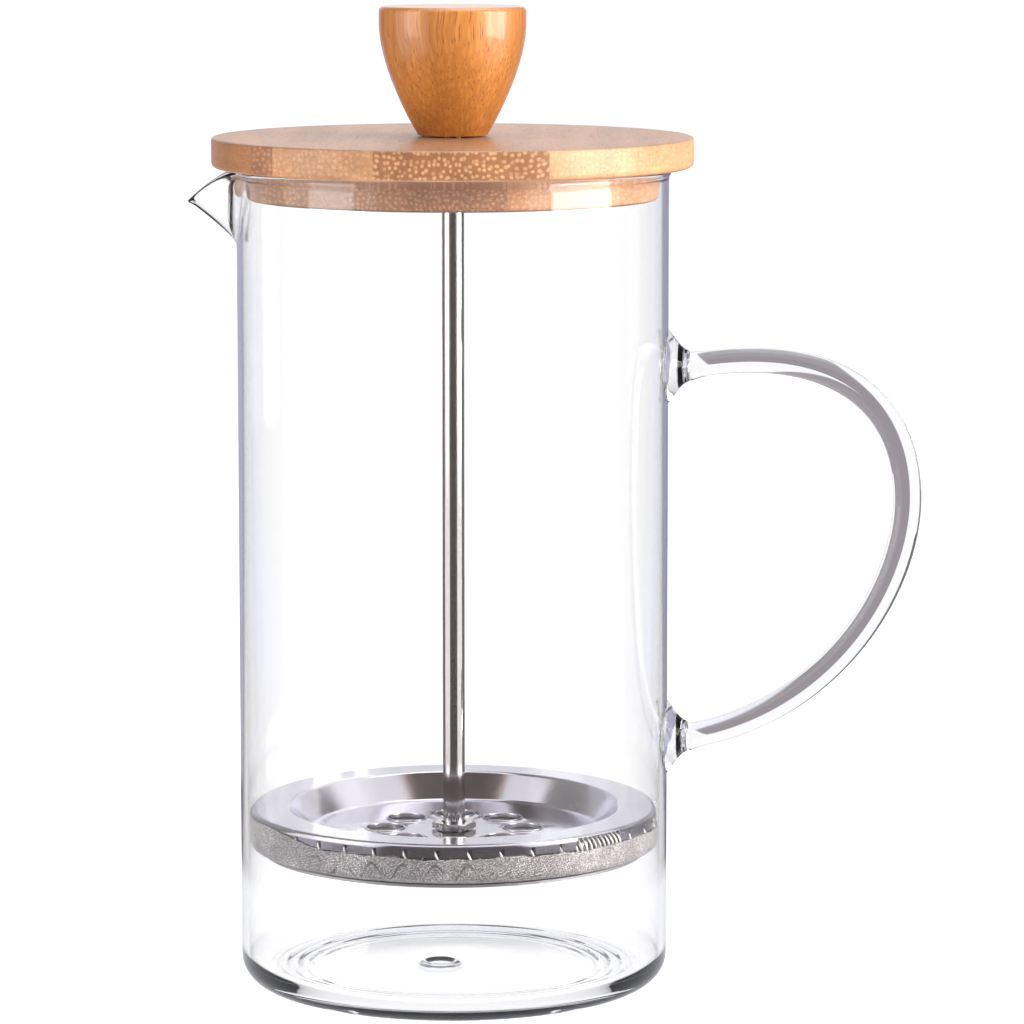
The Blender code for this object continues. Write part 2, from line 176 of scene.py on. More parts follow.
def swept(path: np.ndarray, radii: np.ndarray, sides: int, looped: bool = False) -> Shell:
    """Sweep a circle along a path.

    Args:
        path: The points of the path.
        radii: The circle's radius at each point.
        sides: How many sides the circle has.
        looped: Whether the path closes on itself. An open one gets a flat end at both ends.

    Returns:
        The shell of the tube.
    """
    count = len(path)
    if looped:
        along = np.roll(path, -1, axis=0) - np.roll(path, 1, axis=0)
    else:
        along = np.gradient(path, axis=0)
    along /= np.linalg.norm(along, axis=1)[:, None]
    side = np.cross(along[0], (0.0, 1.0, 0.0) if abs(along[0][1]) < 0.9 else (1.0, 0.0, 0.0))
    frames = []
    for direction in along:
        side = side - direction * side.dot(direction)
        side /= np.linalg.norm(side)
        frames.append((side, np.cross(direction, side)))
    twist = 0.0
    if looped:
        first, last = frames[0], frames[-1]
        twist = math.atan2(float(first[0].dot(last[1])), float(first[0].dot(last[0])))
    rings = []
    for index, (across, up) in enumerate(frames):
        angles = np.linspace(0, 2 * math.pi, sides, endpoint=False) + twist * index / count
        circle = np.cos(angles)[:, None] * across + np.sin(angles)[:, None] * up
        rings.append(path[index] + radii[index] * circle)
    faces: list[tuple[int, ...]] = []
    for ring in range(count if looped else count - 1):
        here, there = ring * sides, (ring + 1) % count * sides
        for k in range(sides):
            after = (k + 1) % sides
            faces.append((here + k, here + after, there + after, there + k))
    if not looped:
        faces += [tuple(range(sides)), tuple(range((count - 1) * sides, count * sides))]
    return Shell(np.vstack(rings), faces)


class Boolean(enum.Enum):
    """How one solid changes another."""

    ADD = "UNION"
    CUT = "DIFFERENCE"


def new_object(name: str, shell: Shell) -> bpy.types.Object:
    """Make a mesh object of a shell, with its faces turned outwards."""
    mesh = bpy.data.meshes.new(name)
    mesh.from_pydata((shell.points * MM).tolist(), [], shell.faces)
    work = bmesh.new()
    work.from_mesh(mesh)
    bmesh.ops.recalc_face_normals(work, faces=work.faces)
    work.to_mesh(mesh)
    work.free()
    obj = bpy.data.objects.new(name, mesh)
    bpy.context.scene.collection.objects.link(obj)
    return obj


def settle(obj: bpy.types.Object) -> None:
    """Apply the object's modifiers to its mesh."""
    graph = bpy.context.evaluated_depsgraph_get()
    mesh = bpy.data.meshes.new_from_object(obj.evaluated_get(graph))
    old = obj.data
    obj.modifiers.clear()
    obj.data = mesh
    bpy.data.meshes.remove(old)
    mesh.name = obj.name


def change(obj: bpy.types.Object, shell: Shell, how: Boolean) -> None:
    """Add a second solid to an object, or cut it away.

    Args:
        obj: The object that changes.
        shell: The second solid.
        how: Whether the solid is added or cut away.
    """
    tool = new_object("tool", shell)
    modifier = obj.modifiers.new("joint", "BOOLEAN")
    modifier.operation = how.value
    modifier.solver = "EXACT"
    modifier.object = tool
    settle(obj)
    mesh = tool.data
    bpy.data.objects.remove(tool)
    bpy.data.meshes.remove(mesh)


def thicken(obj: bpy.types.Object, thickness: float, offset: float) -> None:
    """Give a sheet its thickness in millimetres. An offset of -1 grows it against its normals."""
    modifier = obj.modifiers.new("thickness", "SOLIDIFY")
    modifier.thickness = thickness * MM
    modifier.offset = offset
    settle(obj)


def smooth(obj: bpy.types.Object, sharp_angle: float = 32.0) -> None:
    """Shade the object smooth, but for edges sharper than an angle in degrees."""
    for polygon in obj.data.polygons:
        polygon.use_smooth = True
    obj.data.set_sharp_from_angle(angle=math.radians(sharp_angle))


# Node trees --------------------------------------------------------------------------------------


@dataclass
class Nodes:
    """Adds and joins the nodes of one tree."""

    tree: bpy.types.NodeTree

    def add(self, kind: str, **settings: object) -> bpy.types.Node:
        """A new node, with some of its settings."""
        node = self.tree.nodes.new(kind)
        for name, value in settings.items():
            setattr(node, name, value)
        return node

    def feed(self, socket: Socket, value: Value) -> None:
        """Link a socket to another one, or set its own value."""
        if isinstance(value, bpy.types.NodeSocket):
            self.tree.links.new(value, socket)
        else:
            socket.default_value = value

    def fill(self, node: bpy.types.Node, *values: Value, **named: Value) -> Socket:
        """Feed a node's inputs.

        Args:
            node: The node.
            values: What its inputs get, in their order.
            named: What its inputs get by name. An underscore stands for a space.

        Returns:
            The node's first output.
        """
        for socket, value in zip(node.inputs, values):
            self.feed(socket, value)
        for name, value in named.items():
            self.feed(node.inputs[name.replace("_", " ")], value)
        return node.outputs[0] if node.outputs else None

    def maths(self, operation: str, *values: Value) -> Socket:
        """The result of a Math node."""
        return self.fill(self.add("ShaderNodeMath", operation=operation), *values)

    def plus(self, *values: Value) -> Socket:
        """The sum of the values."""
        return reduce(partial(self.maths, "ADD"), values)

    def minus(self, first: Value, second: Value) -> Socket:
        """The first number less the second."""
        return self.maths("SUBTRACT", first, second)

    def times(self, *values: Value) -> Socket:
        """The product of the values."""
        return reduce(partial(self.maths, "MULTIPLY"), values)

    def apart(self, first: Value, second: Value) -> Socket:
        """How far two numbers lie apart."""
        return self.maths("ABSOLUTE", self.minus(first, second))

    def degrees(self, operation: str, *values: Value) -> Socket:
        """The angle in degrees that an inverse function gives."""
        return self.maths("DEGREES", self.maths(operation, *values))

    def vector(self, operation: str, *values: Value) -> Socket:
        """The vector that a Vector Math node gives."""
        return self.fill(self.add("ShaderNodeVectorMath", operation=operation), *values)

    def stretch(self, vector: Value, x: float, y: float, z: float) -> Socket:
        """A vector with each part times its own factor."""
        return self.vector("MULTIPLY", vector, (x, y, z))

    def split(self, vector: Value) -> tuple[Socket, Socket, Socket]:
        """The three parts of a vector."""
        node = self.add("ShaderNodeSeparateXYZ")
        self.fill(node, vector)
        return tuple(node.outputs)

    def combine(self, *parts: Value) -> Socket:
        """A vector made of three parts."""
        return self.fill(self.add("ShaderNodeCombineXYZ"), *parts)

    def remap(
        self, value: Value, low: float, high: float, to_low: float = 0.0, to_high: float = 1.0
    ) -> Socket:
        """The value eased from one range into another, and held at its ends."""
        node = self.add("ShaderNodeMapRange", interpolation_type="SMOOTHSTEP")
        return self.fill(node, value, low, high, to_low, to_high)

    def noise(self, vector: Value, scale: float = 1.0, detail: float = 2.0, roughness: float = 0.5) -> Socket:
        """The grey value of a Noise texture."""
        node = self.add("ShaderNodeTexNoise")
        return self.fill(node, Vector=vector, Scale=scale, Detail=detail, Roughness=roughness)

    def cells(self, vector: Value) -> tuple[Socket, Socket]:
        """The distance to the nearest point of a flat Voronoi pattern, and that point's random colour."""
        node = self.add("ShaderNodeTexVoronoi", voronoi_dimensions="2D")
        self.fill(node, Vector=vector, Scale=1.0, Randomness=0.7)
        return node.outputs["Distance"], node.outputs["Color"]

    def pick(self, share: Value, first: Value, second: Value) -> Socket:
        """Two numbers mixed by a share, from the first to the second."""
        node = self.add("ShaderNodeMix")
        for index, value in ((0, share), (2, first), (3, second)):
            self.feed(node.inputs[index], value)
        return node.outputs[0]

    def blend(self, share: Value, first: Value, second: Value, how: str = "MIX") -> Socket:
        """Two colours mixed by a share, from the first to the second."""
        node = self.add("ShaderNodeMix", data_type="RGBA", blend_type=how)
        self.feed(node.inputs[0], share)
        self.feed(node.inputs[6], first)
        self.feed(node.inputs[7], second)
        return node.outputs[2]

    def shaded(self, colour: Value, shade: Value) -> Socket:
        """A colour darkened or lightened by a number."""
        return self.blend(1.0, colour, self.combine(shade, shade, shade), "MULTIPLY")

    def place(self, group: bpy.types.NodeTree, **inputs: Value) -> bpy.types.Node:
        """A node that holds a group, with its inputs fed by name."""
        node = self.add("ShaderNodeGroup", node_tree=group)
        self.fill(node, **inputs)
        return node

    def bump(self, height: Value, depth: float) -> Socket:
        """A normal from a height, with the relief's depth in millimetres."""
        return self.fill(self.add("ShaderNodeBump"), Height=height, Distance=depth * MM)

    def mixed(self, share: Value, first: Value, second: Value) -> Socket:
        """Two shaders mixed by a share, from the first to the second."""
        return self.fill(self.add("ShaderNodeMixShader"), share, first, second)


class Kind(enum.Enum):
    """The kinds of socket that the groups use."""

    NUMBER = "NodeSocketFloat"
    VECTOR = "NodeSocketVector"
    COLOUR = "NodeSocketColor"


@dataclass
class Effect:
    """A shader node group with named sockets, built once and placed in several materials."""

    name: str
    inputs: dict[str, tuple[Kind, Value]]
    outputs: dict[str, Kind]
    tree: bpy.types.NodeTree = field(init=False)
    nodes: Nodes = field(init=False)
    given: bpy.types.Node = field(init=False)
    result: bpy.types.Node = field(init=False)

    def __post_init__(self) -> None:
        """Make the group with its sockets and its end nodes."""
        self.tree = bpy.data.node_groups.new(self.name, "ShaderNodeTree")
        for label, (kind, default) in self.inputs.items():
            socket = self.tree.interface.new_socket(label, in_out="INPUT", socket_type=kind.value)
            socket.default_value = default
        for label, kind in self.outputs.items():
            self.tree.interface.new_socket(label, in_out="OUTPUT", socket_type=kind.value)
        self.nodes = Nodes(self.tree)
        self.given = self.nodes.add("NodeGroupInput")
        self.result = self.nodes.add("NodeGroupOutput")

    def take(self, label: str) -> Socket:
        """One of the group's inputs, as its inner nodes read it."""
        return self.given.outputs[label]

    def give(self, **results: Value) -> bpy.types.NodeTree:
        """Feed the group's outputs and return its tree."""
        self.nodes.fill(self.result, **results)
        return self.tree


def bamboo_grain() -> bpy.types.NodeTree:
    """Bamboo: bundles of fibre that run along Z, seen as dots on an end and as streaks on a side."""
    effect = Effect(
        "bamboo_grain",
        {
            "Position": (Kind.VECTOR, (0.0, 0.0, 0.0)),
            "Ground": (Kind.COLOUR, (0.6, 0.35, 0.15, 1.0)),
            "Bundle": (Kind.COLOUR, (0.8, 0.55, 0.3, 1.0)),
            "Spacing": (Kind.NUMBER, 1.0),
            "Bundle Strength": (Kind.NUMBER, 0.6),
            "Pore Strength": (Kind.NUMBER, 0.5),
            "Streak Strength": (Kind.NUMBER, 0.3),
            "Glue": (Kind.NUMBER, 0.0),
        },
        {"Color": Kind.COLOUR, "Roughness": Kind.NUMBER, "Height": Kind.NUMBER},
    )
    nodes = effect.nodes
    position, ground = effect.take("Position"), effect.take("Ground")
    sideways = nodes.noise(position, 0.05)
    forwards = nodes.noise(nodes.vector("ADD", position, (31.0, 7.0, 3.0)), 0.05)
    sway = nodes.vector("SUBTRACT", nodes.combine(sideways, forwards, 0.5), (0.5, 0.5, 0.5))
    swayed = nodes.vector("ADD", position, nodes.stretch(sway, 5.0, 5.0, 0.0))
    step = nodes.maths("DIVIDE", 1.0, effect.take("Spacing"))
    scaled = nodes.vector("MULTIPLY", swayed, nodes.combine(step, step, step))

    distance, random = nodes.cells(scaled)
    strength = nodes.remap(nodes.split(random)[0], 0.0, 0.5, 0.55, 1.0)
    bundle = nodes.times(nodes.remap(distance, 0.46, 0.16), strength)
    finer = nodes.vector("ADD", nodes.stretch(scaled, 1.8, 1.8, 1.0), (17.3, 4.1, 9.7))
    distance, random = nodes.cells(finer)
    broken = nodes.remap(nodes.noise(nodes.stretch(position, 1.4, 1.4, 0.12)), 0.42, 0.56)
    pore = nodes.times(nodes.remap(distance, 0.3, 0.1), nodes.remap(nodes.split(random)[1], 0.5, 0.7), broken)
    streak = nodes.noise(nodes.stretch(swayed, 2.6, 2.6, 0.05), detail=3.0, roughness=0.6)
    cloud = nodes.noise(nodes.stretch(swayed, 0.16, 0.16, 0.012))

    dark = nodes.blend(1.0, ground, (0.42, 0.30, 0.22, 1.0), "MULTIPLY")
    colour = nodes.blend(nodes.times(bundle, effect.take("Bundle Strength")), ground, effect.take("Bundle"))
    colour = nodes.blend(nodes.times(pore, effect.take("Pore Strength")), colour, dark)
    streaked = nodes.times(nodes.remap(streak, 0.52, 0.72), effect.take("Streak Strength"))
    colour = nodes.blend(streaked, colour, dark)
    colour = nodes.shaded(colour, nodes.remap(cloud, 0.3, 0.7, 0.86, 1.1))
    glue = effect.take("Glue")
    colour = nodes.blend(nodes.times(glue, 0.2), colour, dark)
    roughness = nodes.plus(0.36, nodes.times(streak, 0.14), nodes.times(pore, 0.12))
    height = nodes.plus(nodes.times(streak, 0.6), nodes.times(pore, -0.8), nodes.times(glue, -0.6))
    return effect.give(Color=colour, Roughness=roughness, Height=height)


def fine_wear() -> bpy.types.NodeTree:
    """Smudges and hair-fine polishing lines, for metal and glass."""
    effect = Effect(
        "fine_wear",
        {
            "Position": (Kind.VECTOR, (0.0, 0.0, 0.0)),
            "Base Roughness": (Kind.NUMBER, 0.1),
            "Smudge": (Kind.NUMBER, 0.06),
            "Line Scale": (Kind.VECTOR, (6.0, 6.0, 0.3)),
            "Line Roughness": (Kind.NUMBER, 0.05),
        },
        {"Roughness": Kind.NUMBER, "Height": Kind.NUMBER, "Tint": Kind.NUMBER},
    )
    nodes = effect.nodes
    position = effect.take("Position")
    smudge = nodes.remap(nodes.noise(position, 0.07, detail=4.0, roughness=0.62), 0.45, 0.75)
    scaled = nodes.vector("MULTIPLY", position, effect.take("Line Scale"))
    lines = nodes.noise(scaled, detail=3.0, roughness=0.7)
    roughness = nodes.plus(
        effect.take("Base Roughness"),
        nodes.times(smudge, effect.take("Smudge")),
        nodes.times(lines, effect.take("Line Roughness")),
    )
    tint = nodes.minus(1.0, nodes.times(smudge, 0.06))
    return effect.give(Roughness=roughness, Height=lines, Tint=tint)


def wire_weave() -> bpy.types.NodeTree:
    """A plain weave of round wires, one over and one under, over a flat pair of coordinates."""
    effect = Effect(
        "wire_weave",
        {
            "Across": (Kind.NUMBER, 0.0),
            "Along": (Kind.NUMBER, 0.0),
            "Pitch": (Kind.NUMBER, 0.5),
            "Wire Share": (Kind.NUMBER, 0.45),
        },
        {"Cover": Kind.NUMBER, "Height": Kind.NUMBER, "Shade": Kind.NUMBER},
    )
    nodes = effect.nodes
    step = nodes.maths("DIVIDE", 1.0, effect.take("Pitch"))
    across, along = nodes.times(effect.take("Across"), step), nodes.times(effect.take("Along"), step)
    half_wire = nodes.times(effect.take("Wire Share"), 0.5)
    rounds, levels = [], []
    for mine, other, shift in ((across, along, 0.0), (along, across, math.pi)):
        share = nodes.maths("DIVIDE", nodes.apart(nodes.maths("FRACT", mine), 0.5), half_wire)
        inside = nodes.maths("MAXIMUM", nodes.minus(1.0, nodes.times(share, share)), 0.0)
        rounds.append(nodes.maths("SQRT", inside))
        flip = nodes.times(nodes.maths("FLOOR", mine), math.pi)
        wave = nodes.maths("SINE", nodes.plus(nodes.times(other, math.pi), flip, shift))
        levels.append(nodes.times(nodes.plus(nodes.times(wave, 0.35), 0.65), rounds[-1]))
    cover = nodes.maths("GREATER_THAN", nodes.maths("MAXIMUM", *rounds), 0.02)
    height = nodes.maths("MAXIMUM", *levels)
    # Painted shade: each wire darkens where it dips under the wire that crosses it.
    shade = nodes.remap(height, 0.1, 0.9, 0.45, 1.0)
    return effect.give(Cover=cover, Height=height, Shade=shade)


def studio_surround() -> bpy.types.NodeTree:
    """What polished metal, the glass rod and the beaker's wall see round the press, by direction."""
    effect = Effect(
        "studio_surround",
        {
            "Direction": (Kind.VECTOR, (0.0, 1.0, 0.0)),
            "Handle Direction": (Kind.VECTOR, (0.0, 1.0, 0.0)),
            "Near": (Kind.NUMBER, 0.0),
            "Beside": (Kind.NUMBER, 0.0),
            "Under": (Kind.NUMBER, 0.0),
        },
        {"Mirror": Kind.COLOUR, "Rod": Kind.COLOUR, "Wall": Kind.COLOUR, "Sheen": Kind.COLOUR},
    )
    nodes = effect.nodes

    def bands(value: Socket, first: Value, *steps: tuple[float, float, Value]) -> Socket:
        """Colours one after another, each eased in between its two limits."""
        colour = first
        for low, high, following in steps:
            colour = nodes.blend(nodes.remap(value, low, high), colour, following)
        return colour

    def angles(direction: Socket) -> tuple[Socket, Socket]:
        """How far to the right of +Y a direction points, and how far up, both in degrees."""
        x, y, z = nodes.split(direction)
        return nodes.degrees("ARCTAN2", x, y), nodes.degrees("ARCSINE", z)

    side, rise = angles(effect.take("Direction"))
    away = nodes.maths("ABSOLUTE", side)
    flank = nodes.blend(nodes.maths("GREATER_THAN", side, 0.0), LEFT_LAVENDER, RIGHT_LAVENDER)
    far_steps = (9, 14, flank), (26, 34, SIDE_GREY), (78, 84, SOFT_WHITE), (138, 144, FRONT_DARK)
    far = bands(away, HORIZON, *far_steps)
    near = bands(away, NEAR_SIDE, (62, 84, NEAR_GREY), (108, 124, FRONT_DARK))
    mirror = nodes.blend(effect.take("Near"), far, near)
    high = bands(side, HIGH_WHITE, (-82, -74, HIGH_DARK), (-10, 2, HIGH_WHITE))
    mirror = bands(rise, mirror, (31, 42, high))
    mirror = nodes.blend(effect.take("Under"), mirror, UNDER_PALE)
    sheen = bands(away, WHITE, (7, 10, SHEEN_LAVENDER), (26, 32, WHITE))
    off_axis = nodes.minus(90.0, nodes.apart(away, 90.0))
    wall = bands(off_axis, WALL_WHITE, (9, 14, WALL_LAVENDER))
    wall = nodes.blend(effect.take("Beside"), wall, WALL_WHITE)
    side, rise = angles(effect.take("Handle Direction"))
    rod = bands(side, WHITE, (0, 2, ROD_MAUVE), (46, 50, WHITE))
    rod = nodes.blend(nodes.remap(side, -40.0, -46.0), rod, ROD_DARK)
    rod = bands(rise, rod, (44, 50, ROD_TOP))
    rod = nodes.blend(effect.take("Under"), rod, UNDER_PALE)
    return effect.give(Mirror=mirror, Rod=rod, Wall=wall, Sheen=sheen)


# Finishes ----------------------------------------------------------------------------------------


class Axis(enum.Enum):
    """Which way the fibres or the polishing lines of a piece run."""

    X = (1, 2, 0)
    Y = (2, 0, 1)
    Z = (0, 1, 2)


@dataclass
class Effects:
    """The node groups that the finishes share."""

    grain: bpy.types.NodeTree = field(default_factory=bamboo_grain)
    wear: bpy.types.NodeTree = field(default_factory=fine_wear)
    weave: bpy.types.NodeTree = field(default_factory=wire_weave)
    surround: bpy.types.NodeTree = field(default_factory=studio_surround)


@dataclass
class Look:
    """A material in the making, with its shader and the position on the piece in millimetres."""

    name: str
    material: bpy.types.Material = field(init=False)
    nodes: Nodes = field(init=False)
    shader: bpy.types.Node = field(init=False)
    output: bpy.types.Node = field(init=False)
    position: Socket = field(init=False)

    def __post_init__(self) -> None:
        """Start the material with its end nodes."""
        self.material = bpy.data.materials.new(self.name)
        self.material.use_nodes = True
        self.material.node_tree.nodes.clear()
        self.nodes = nodes = Nodes(self.material.node_tree)
        self.shader = nodes.add("ShaderNodeBsdfPrincipled")
        self.output = nodes.add("ShaderNodeOutputMaterial")
        nodes.fill(self.output, Surface=self.shader.outputs[0])
        place = nodes.add("ShaderNodeTexCoord").outputs["Object"]
        self.position = nodes.stretch(place, 1 / MM, 1 / MM, 1 / MM)


@dataclass(frozen=True)
class Board:
    """One glued strip of bamboo: where it ends, its two colours, and how strongly its bundles show."""

    end: float
    ground: Colour
    bundle: Colour
    dots: float = 0.6


@dataclass(frozen=True)
class BambooFinish:
    """Glued strips of bamboo under a clear coat."""

    name: str
    boards: tuple[Board, ...]
    across: Axis
    fibres: Axis
    # The colour of faces that lie flat, above and below alike; on the plug it is painted shade.
    face: Colour | None = None
    spacing: float = 1.5
    pores: float = 0.5
    streaks: float = 0.3
    coat: float = 0.25
    coat_roughness: float = 0.2
    glue_width: float = 0.25
    relief: float = 0.05

    def make(self, effects: Effects) -> bpy.types.Material:
        """Build the material."""
        look = Look(self.name)
        nodes = look.nodes
        parts = nodes.split(look.position)
        reach = parts[list(Axis).index(self.across)]
        ground: Value = self.boards[0].ground
        bundle: Value = self.boards[0].bundle
        dots: Value = self.boards[0].dots
        pores: Value = self.pores
        glue: Value = 0.0
        for before, board in zip(self.boards, self.boards[1:]):
            beyond = nodes.maths("GREATER_THAN", reach, before.end)
            ground = nodes.blend(beyond, ground, board.ground)
            bundle = nodes.blend(beyond, bundle, board.bundle)
            dots = nodes.pick(beyond, dots, board.dots)
            seam = nodes.remap(nodes.apart(reach, before.end), self.glue_width, 0.0)
            glue = nodes.maths("MAXIMUM", glue, seam)
        # Flat faces take the face colour; on the plug this is painted shade on its underside.
        if self.face is not None:
            normal = nodes.add("ShaderNodeNewGeometry").outputs["True Normal"]
            level = nodes.remap(nodes.maths("ABSOLUTE", nodes.split(normal)[2]), 0.5, 0.85)
            ground = nodes.blend(level, ground, self.face)
            bundle = nodes.blend(level, bundle, self.face)
            glue = nodes.pick(level, glue, 0.0)
            pores = nodes.pick(level, pores, self.pores * 0.25)
        grain = nodes.place(
            effects.grain,
            Position=nodes.combine(*(parts[index] for index in self.fibres.value)),
            Ground=ground,
            Bundle=bundle,
            Spacing=self.spacing,
            Bundle_Strength=dots,
            Pore_Strength=pores,
            Streak_Strength=self.streaks,
            Glue=glue,
        )
        nodes.fill(
            look.shader,
            Base_Color=grain.outputs["Color"],
            Roughness=grain.outputs["Roughness"],
            Normal=nodes.bump(grain.outputs["Height"], self.relief),
            Coat_Weight=self.coat,
            Coat_Roughness=self.coat_roughness,
        )
        return look.material


@dataclass(frozen=True)
class MetalFinish:
    """Polished or satin metal with smudges and fine polishing lines."""

    name: str
    colour: Colour
    roughness: float
    smudge: float = 0.05
    lines: tuple[float, float, float] = (6.0, 6.0, 0.3)
    line_roughness: float = 0.05
    line_depth: float = 0.002
    metallic: float = 1.0

    def make(self, effects: Effects) -> bpy.types.Material:
        """Build the material."""
        look = Look(self.name)
        nodes = look.nodes
        wear = nodes.place(
            effects.wear,
            Position=look.position,
            Base_Roughness=self.roughness,
            Smudge=self.smudge,
            Line_Scale=self.lines,
            Line_Roughness=self.line_roughness,
        )
        nodes.fill(
            look.shader,
            Base_Color=nodes.shaded(self.colour, wear.outputs["Tint"]),
            Roughness=wear.outputs["Roughness"],
            Normal=nodes.bump(wear.outputs["Height"], self.line_depth),
            Metallic=self.metallic,
        )
        return look.material


@dataclass(frozen=True)
class ScreenFinish:
    """Woven steel wire. Between the wires the sheet is open, and painted shade darkens it along the spring's
    coils.
    """

    name: str
    colour: Colour
    radius: float
    pitch: float = 0.55
    wire_share: float = 0.52
    shear: tuple[float, float] = (0.55, -0.3)
    ripple: float = 2.6
    relief: float = 0.12
    # Where the painted shade along the spring's coils runs on the skirt, and round which side it is
    # strongest.
    coil_pitch: float = 7.12
    coil_z: float = 33.8
    coil_rise: float = 1.9
    coil_shade_at: float = -82.0
    coil_shade_reach: tuple[float, float] = (20.0, 30.0)

    def make(self, effects: Effects) -> bpy.types.Material:
        """Build the material: the weave runs round the skirt, and straight over the flat middle."""
        look = Look(self.name)
        nodes, position = look.nodes, look.position
        x, y, z = nodes.split(position)
        normal = nodes.add("ShaderNodeNewGeometry").outputs["True Normal"]
        upright = nodes.maths("LESS_THAN", nodes.maths("ABSOLUTE", nodes.split(normal)[2]), 0.6)
        round_way = nodes.times(nodes.maths("ARCTAN2", y, x), self.radius)
        across, along = nodes.pick(upright, x, round_way), nodes.pick(upright, y, z)
        ripple = nodes.times(nodes.minus(nodes.noise(position, 0.2), 0.5), self.ripple)
        weave = nodes.place(
            effects.weave,
            Across=nodes.plus(across, nodes.times(along, self.shear[0]), ripple),
            Along=nodes.minus(nodes.plus(along, nodes.times(across, self.shear[1])), ripple),
            Pitch=self.pitch,
            Wire_Share=self.wire_share,
        )
        patch = nodes.remap(nodes.noise(position, 0.12, detail=3.0), 0.4, 0.65, 0.8, 1.2)
        glint = nodes.remap(nodes.noise(position, 2.4, detail=1.0), 0.36, 0.64, 0.6, 1.4)
        turn = nodes.times(round_way, 2.0 * math.pi / self.coil_pitch)
        coil = nodes.plus(nodes.times(nodes.maths("SINE", turn), self.coil_rise), self.coil_z)
        # Painted shade: the skirt darkens along the spring's coils, most round one side.
        pressed = nodes.times(
            nodes.remap(nodes.apart(z, coil), 0.5, 0.15),
            upright,
            nodes.remap(nodes.noise(position, 0.3), 0.4, 0.6, 0.15, 0.6),
            nodes.remap(nodes.apart(round_way, self.coil_shade_at), *self.coil_shade_reach, 1.0, 0.2),
        )
        # The wire's colour carries painted light: the weave's shade, glints and the shade along the coils.
        lit = nodes.times(weave.outputs["Shade"], patch, glint, nodes.minus(1.0, pressed))
        nodes.fill(
            look.shader,
            Base_Color=nodes.shaded(self.colour, lit),
            Alpha=weave.outputs["Cover"],
            Normal=nodes.bump(weave.outputs["Height"], self.relief),
            Metallic=0.5,
            Roughness=0.34,
        )
        return look.material


@dataclass(frozen=True)
class GlassFinish:
    """Clear blown glass: faintly wavy, and grey-lavender where it is seen edge on."""

    name: str
    refraction: float = 1.47
    edge_colour: Colour = (0.62, 0.64, 0.80, 1.0)
    edge_density: float = 12.0
    shadow_colour: Colour = (0.93, 0.94, 0.95, 1.0)
    relief: float = 0.02

    def make(self, effects: Effects) -> bpy.types.Material:
        """Build the material. Lamps reach through it to what stands inside."""
        look = Look(self.name)
        nodes = look.nodes
        wear = nodes.place(
            effects.wear,
            Position=look.position,
            Base_Roughness=0.0,
            Smudge=0.006,
            Line_Scale=(0.035, 0.035, 0.018),
            Line_Roughness=0.0,
        )
        glass = nodes.fill(
            look.shader,
            Base_Color=(1.0, 1.0, 1.0, 1.0),
            Transmission_Weight=1.0,
            IOR=self.refraction,
            Roughness=wear.outputs["Roughness"],
            Normal=nodes.bump(wear.outputs["Height"], self.relief),
        )
        clear = nodes.fill(nodes.add("ShaderNodeBsdfTransparent"), self.shadow_colour)
        shadow = nodes.add("ShaderNodeLightPath").outputs["Is Shadow Ray"]
        absorption = nodes.add("ShaderNodeVolumeAbsorption")
        volume = nodes.fill(absorption, Color=self.edge_colour, Density=self.edge_density)
        nodes.fill(look.output, Surface=nodes.mixed(shadow, glass, clear), Volume=volume)
        return look.material


# Pieces ------------------------------------------------------------------------------------------


def dress(obj: bpy.types.Object, material: bpy.types.Material) -> None:
    """Put one material on the whole object."""
    obj.data.materials.clear()
    obj.data.materials.append(material)


def place_piece(
    obj: bpy.types.Object, material: bpy.types.Material, body: str, slot: str, *stands_for: str
) -> None:
    """Finish a new piece and tie it to the frame.

    Args:
        obj: The piece.
        material: Its material.
        body: The body that it rides on.
        slot: The record's material slot. It is not used.
        stands_for: The CAD nodes that it replaces.
    """
    smooth(obj)
    dress(obj, material)
    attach(obj, body)
    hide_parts(*stands_for)
    log.info("%s rides on %s and stands for %s", obj.name, body, ", ".join(stands_for))


def keep_node(name: str, material: bpy.types.Material) -> None:
    """Keep a CAD node's shape and give it a detailed material."""
    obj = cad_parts[name]
    if obj.material_slots:
        for slot in obj.material_slots:
            slot.material = material
    else:
        dress(obj, material)
    log.info("%s keeps its shape and gets %s", name, material.name)


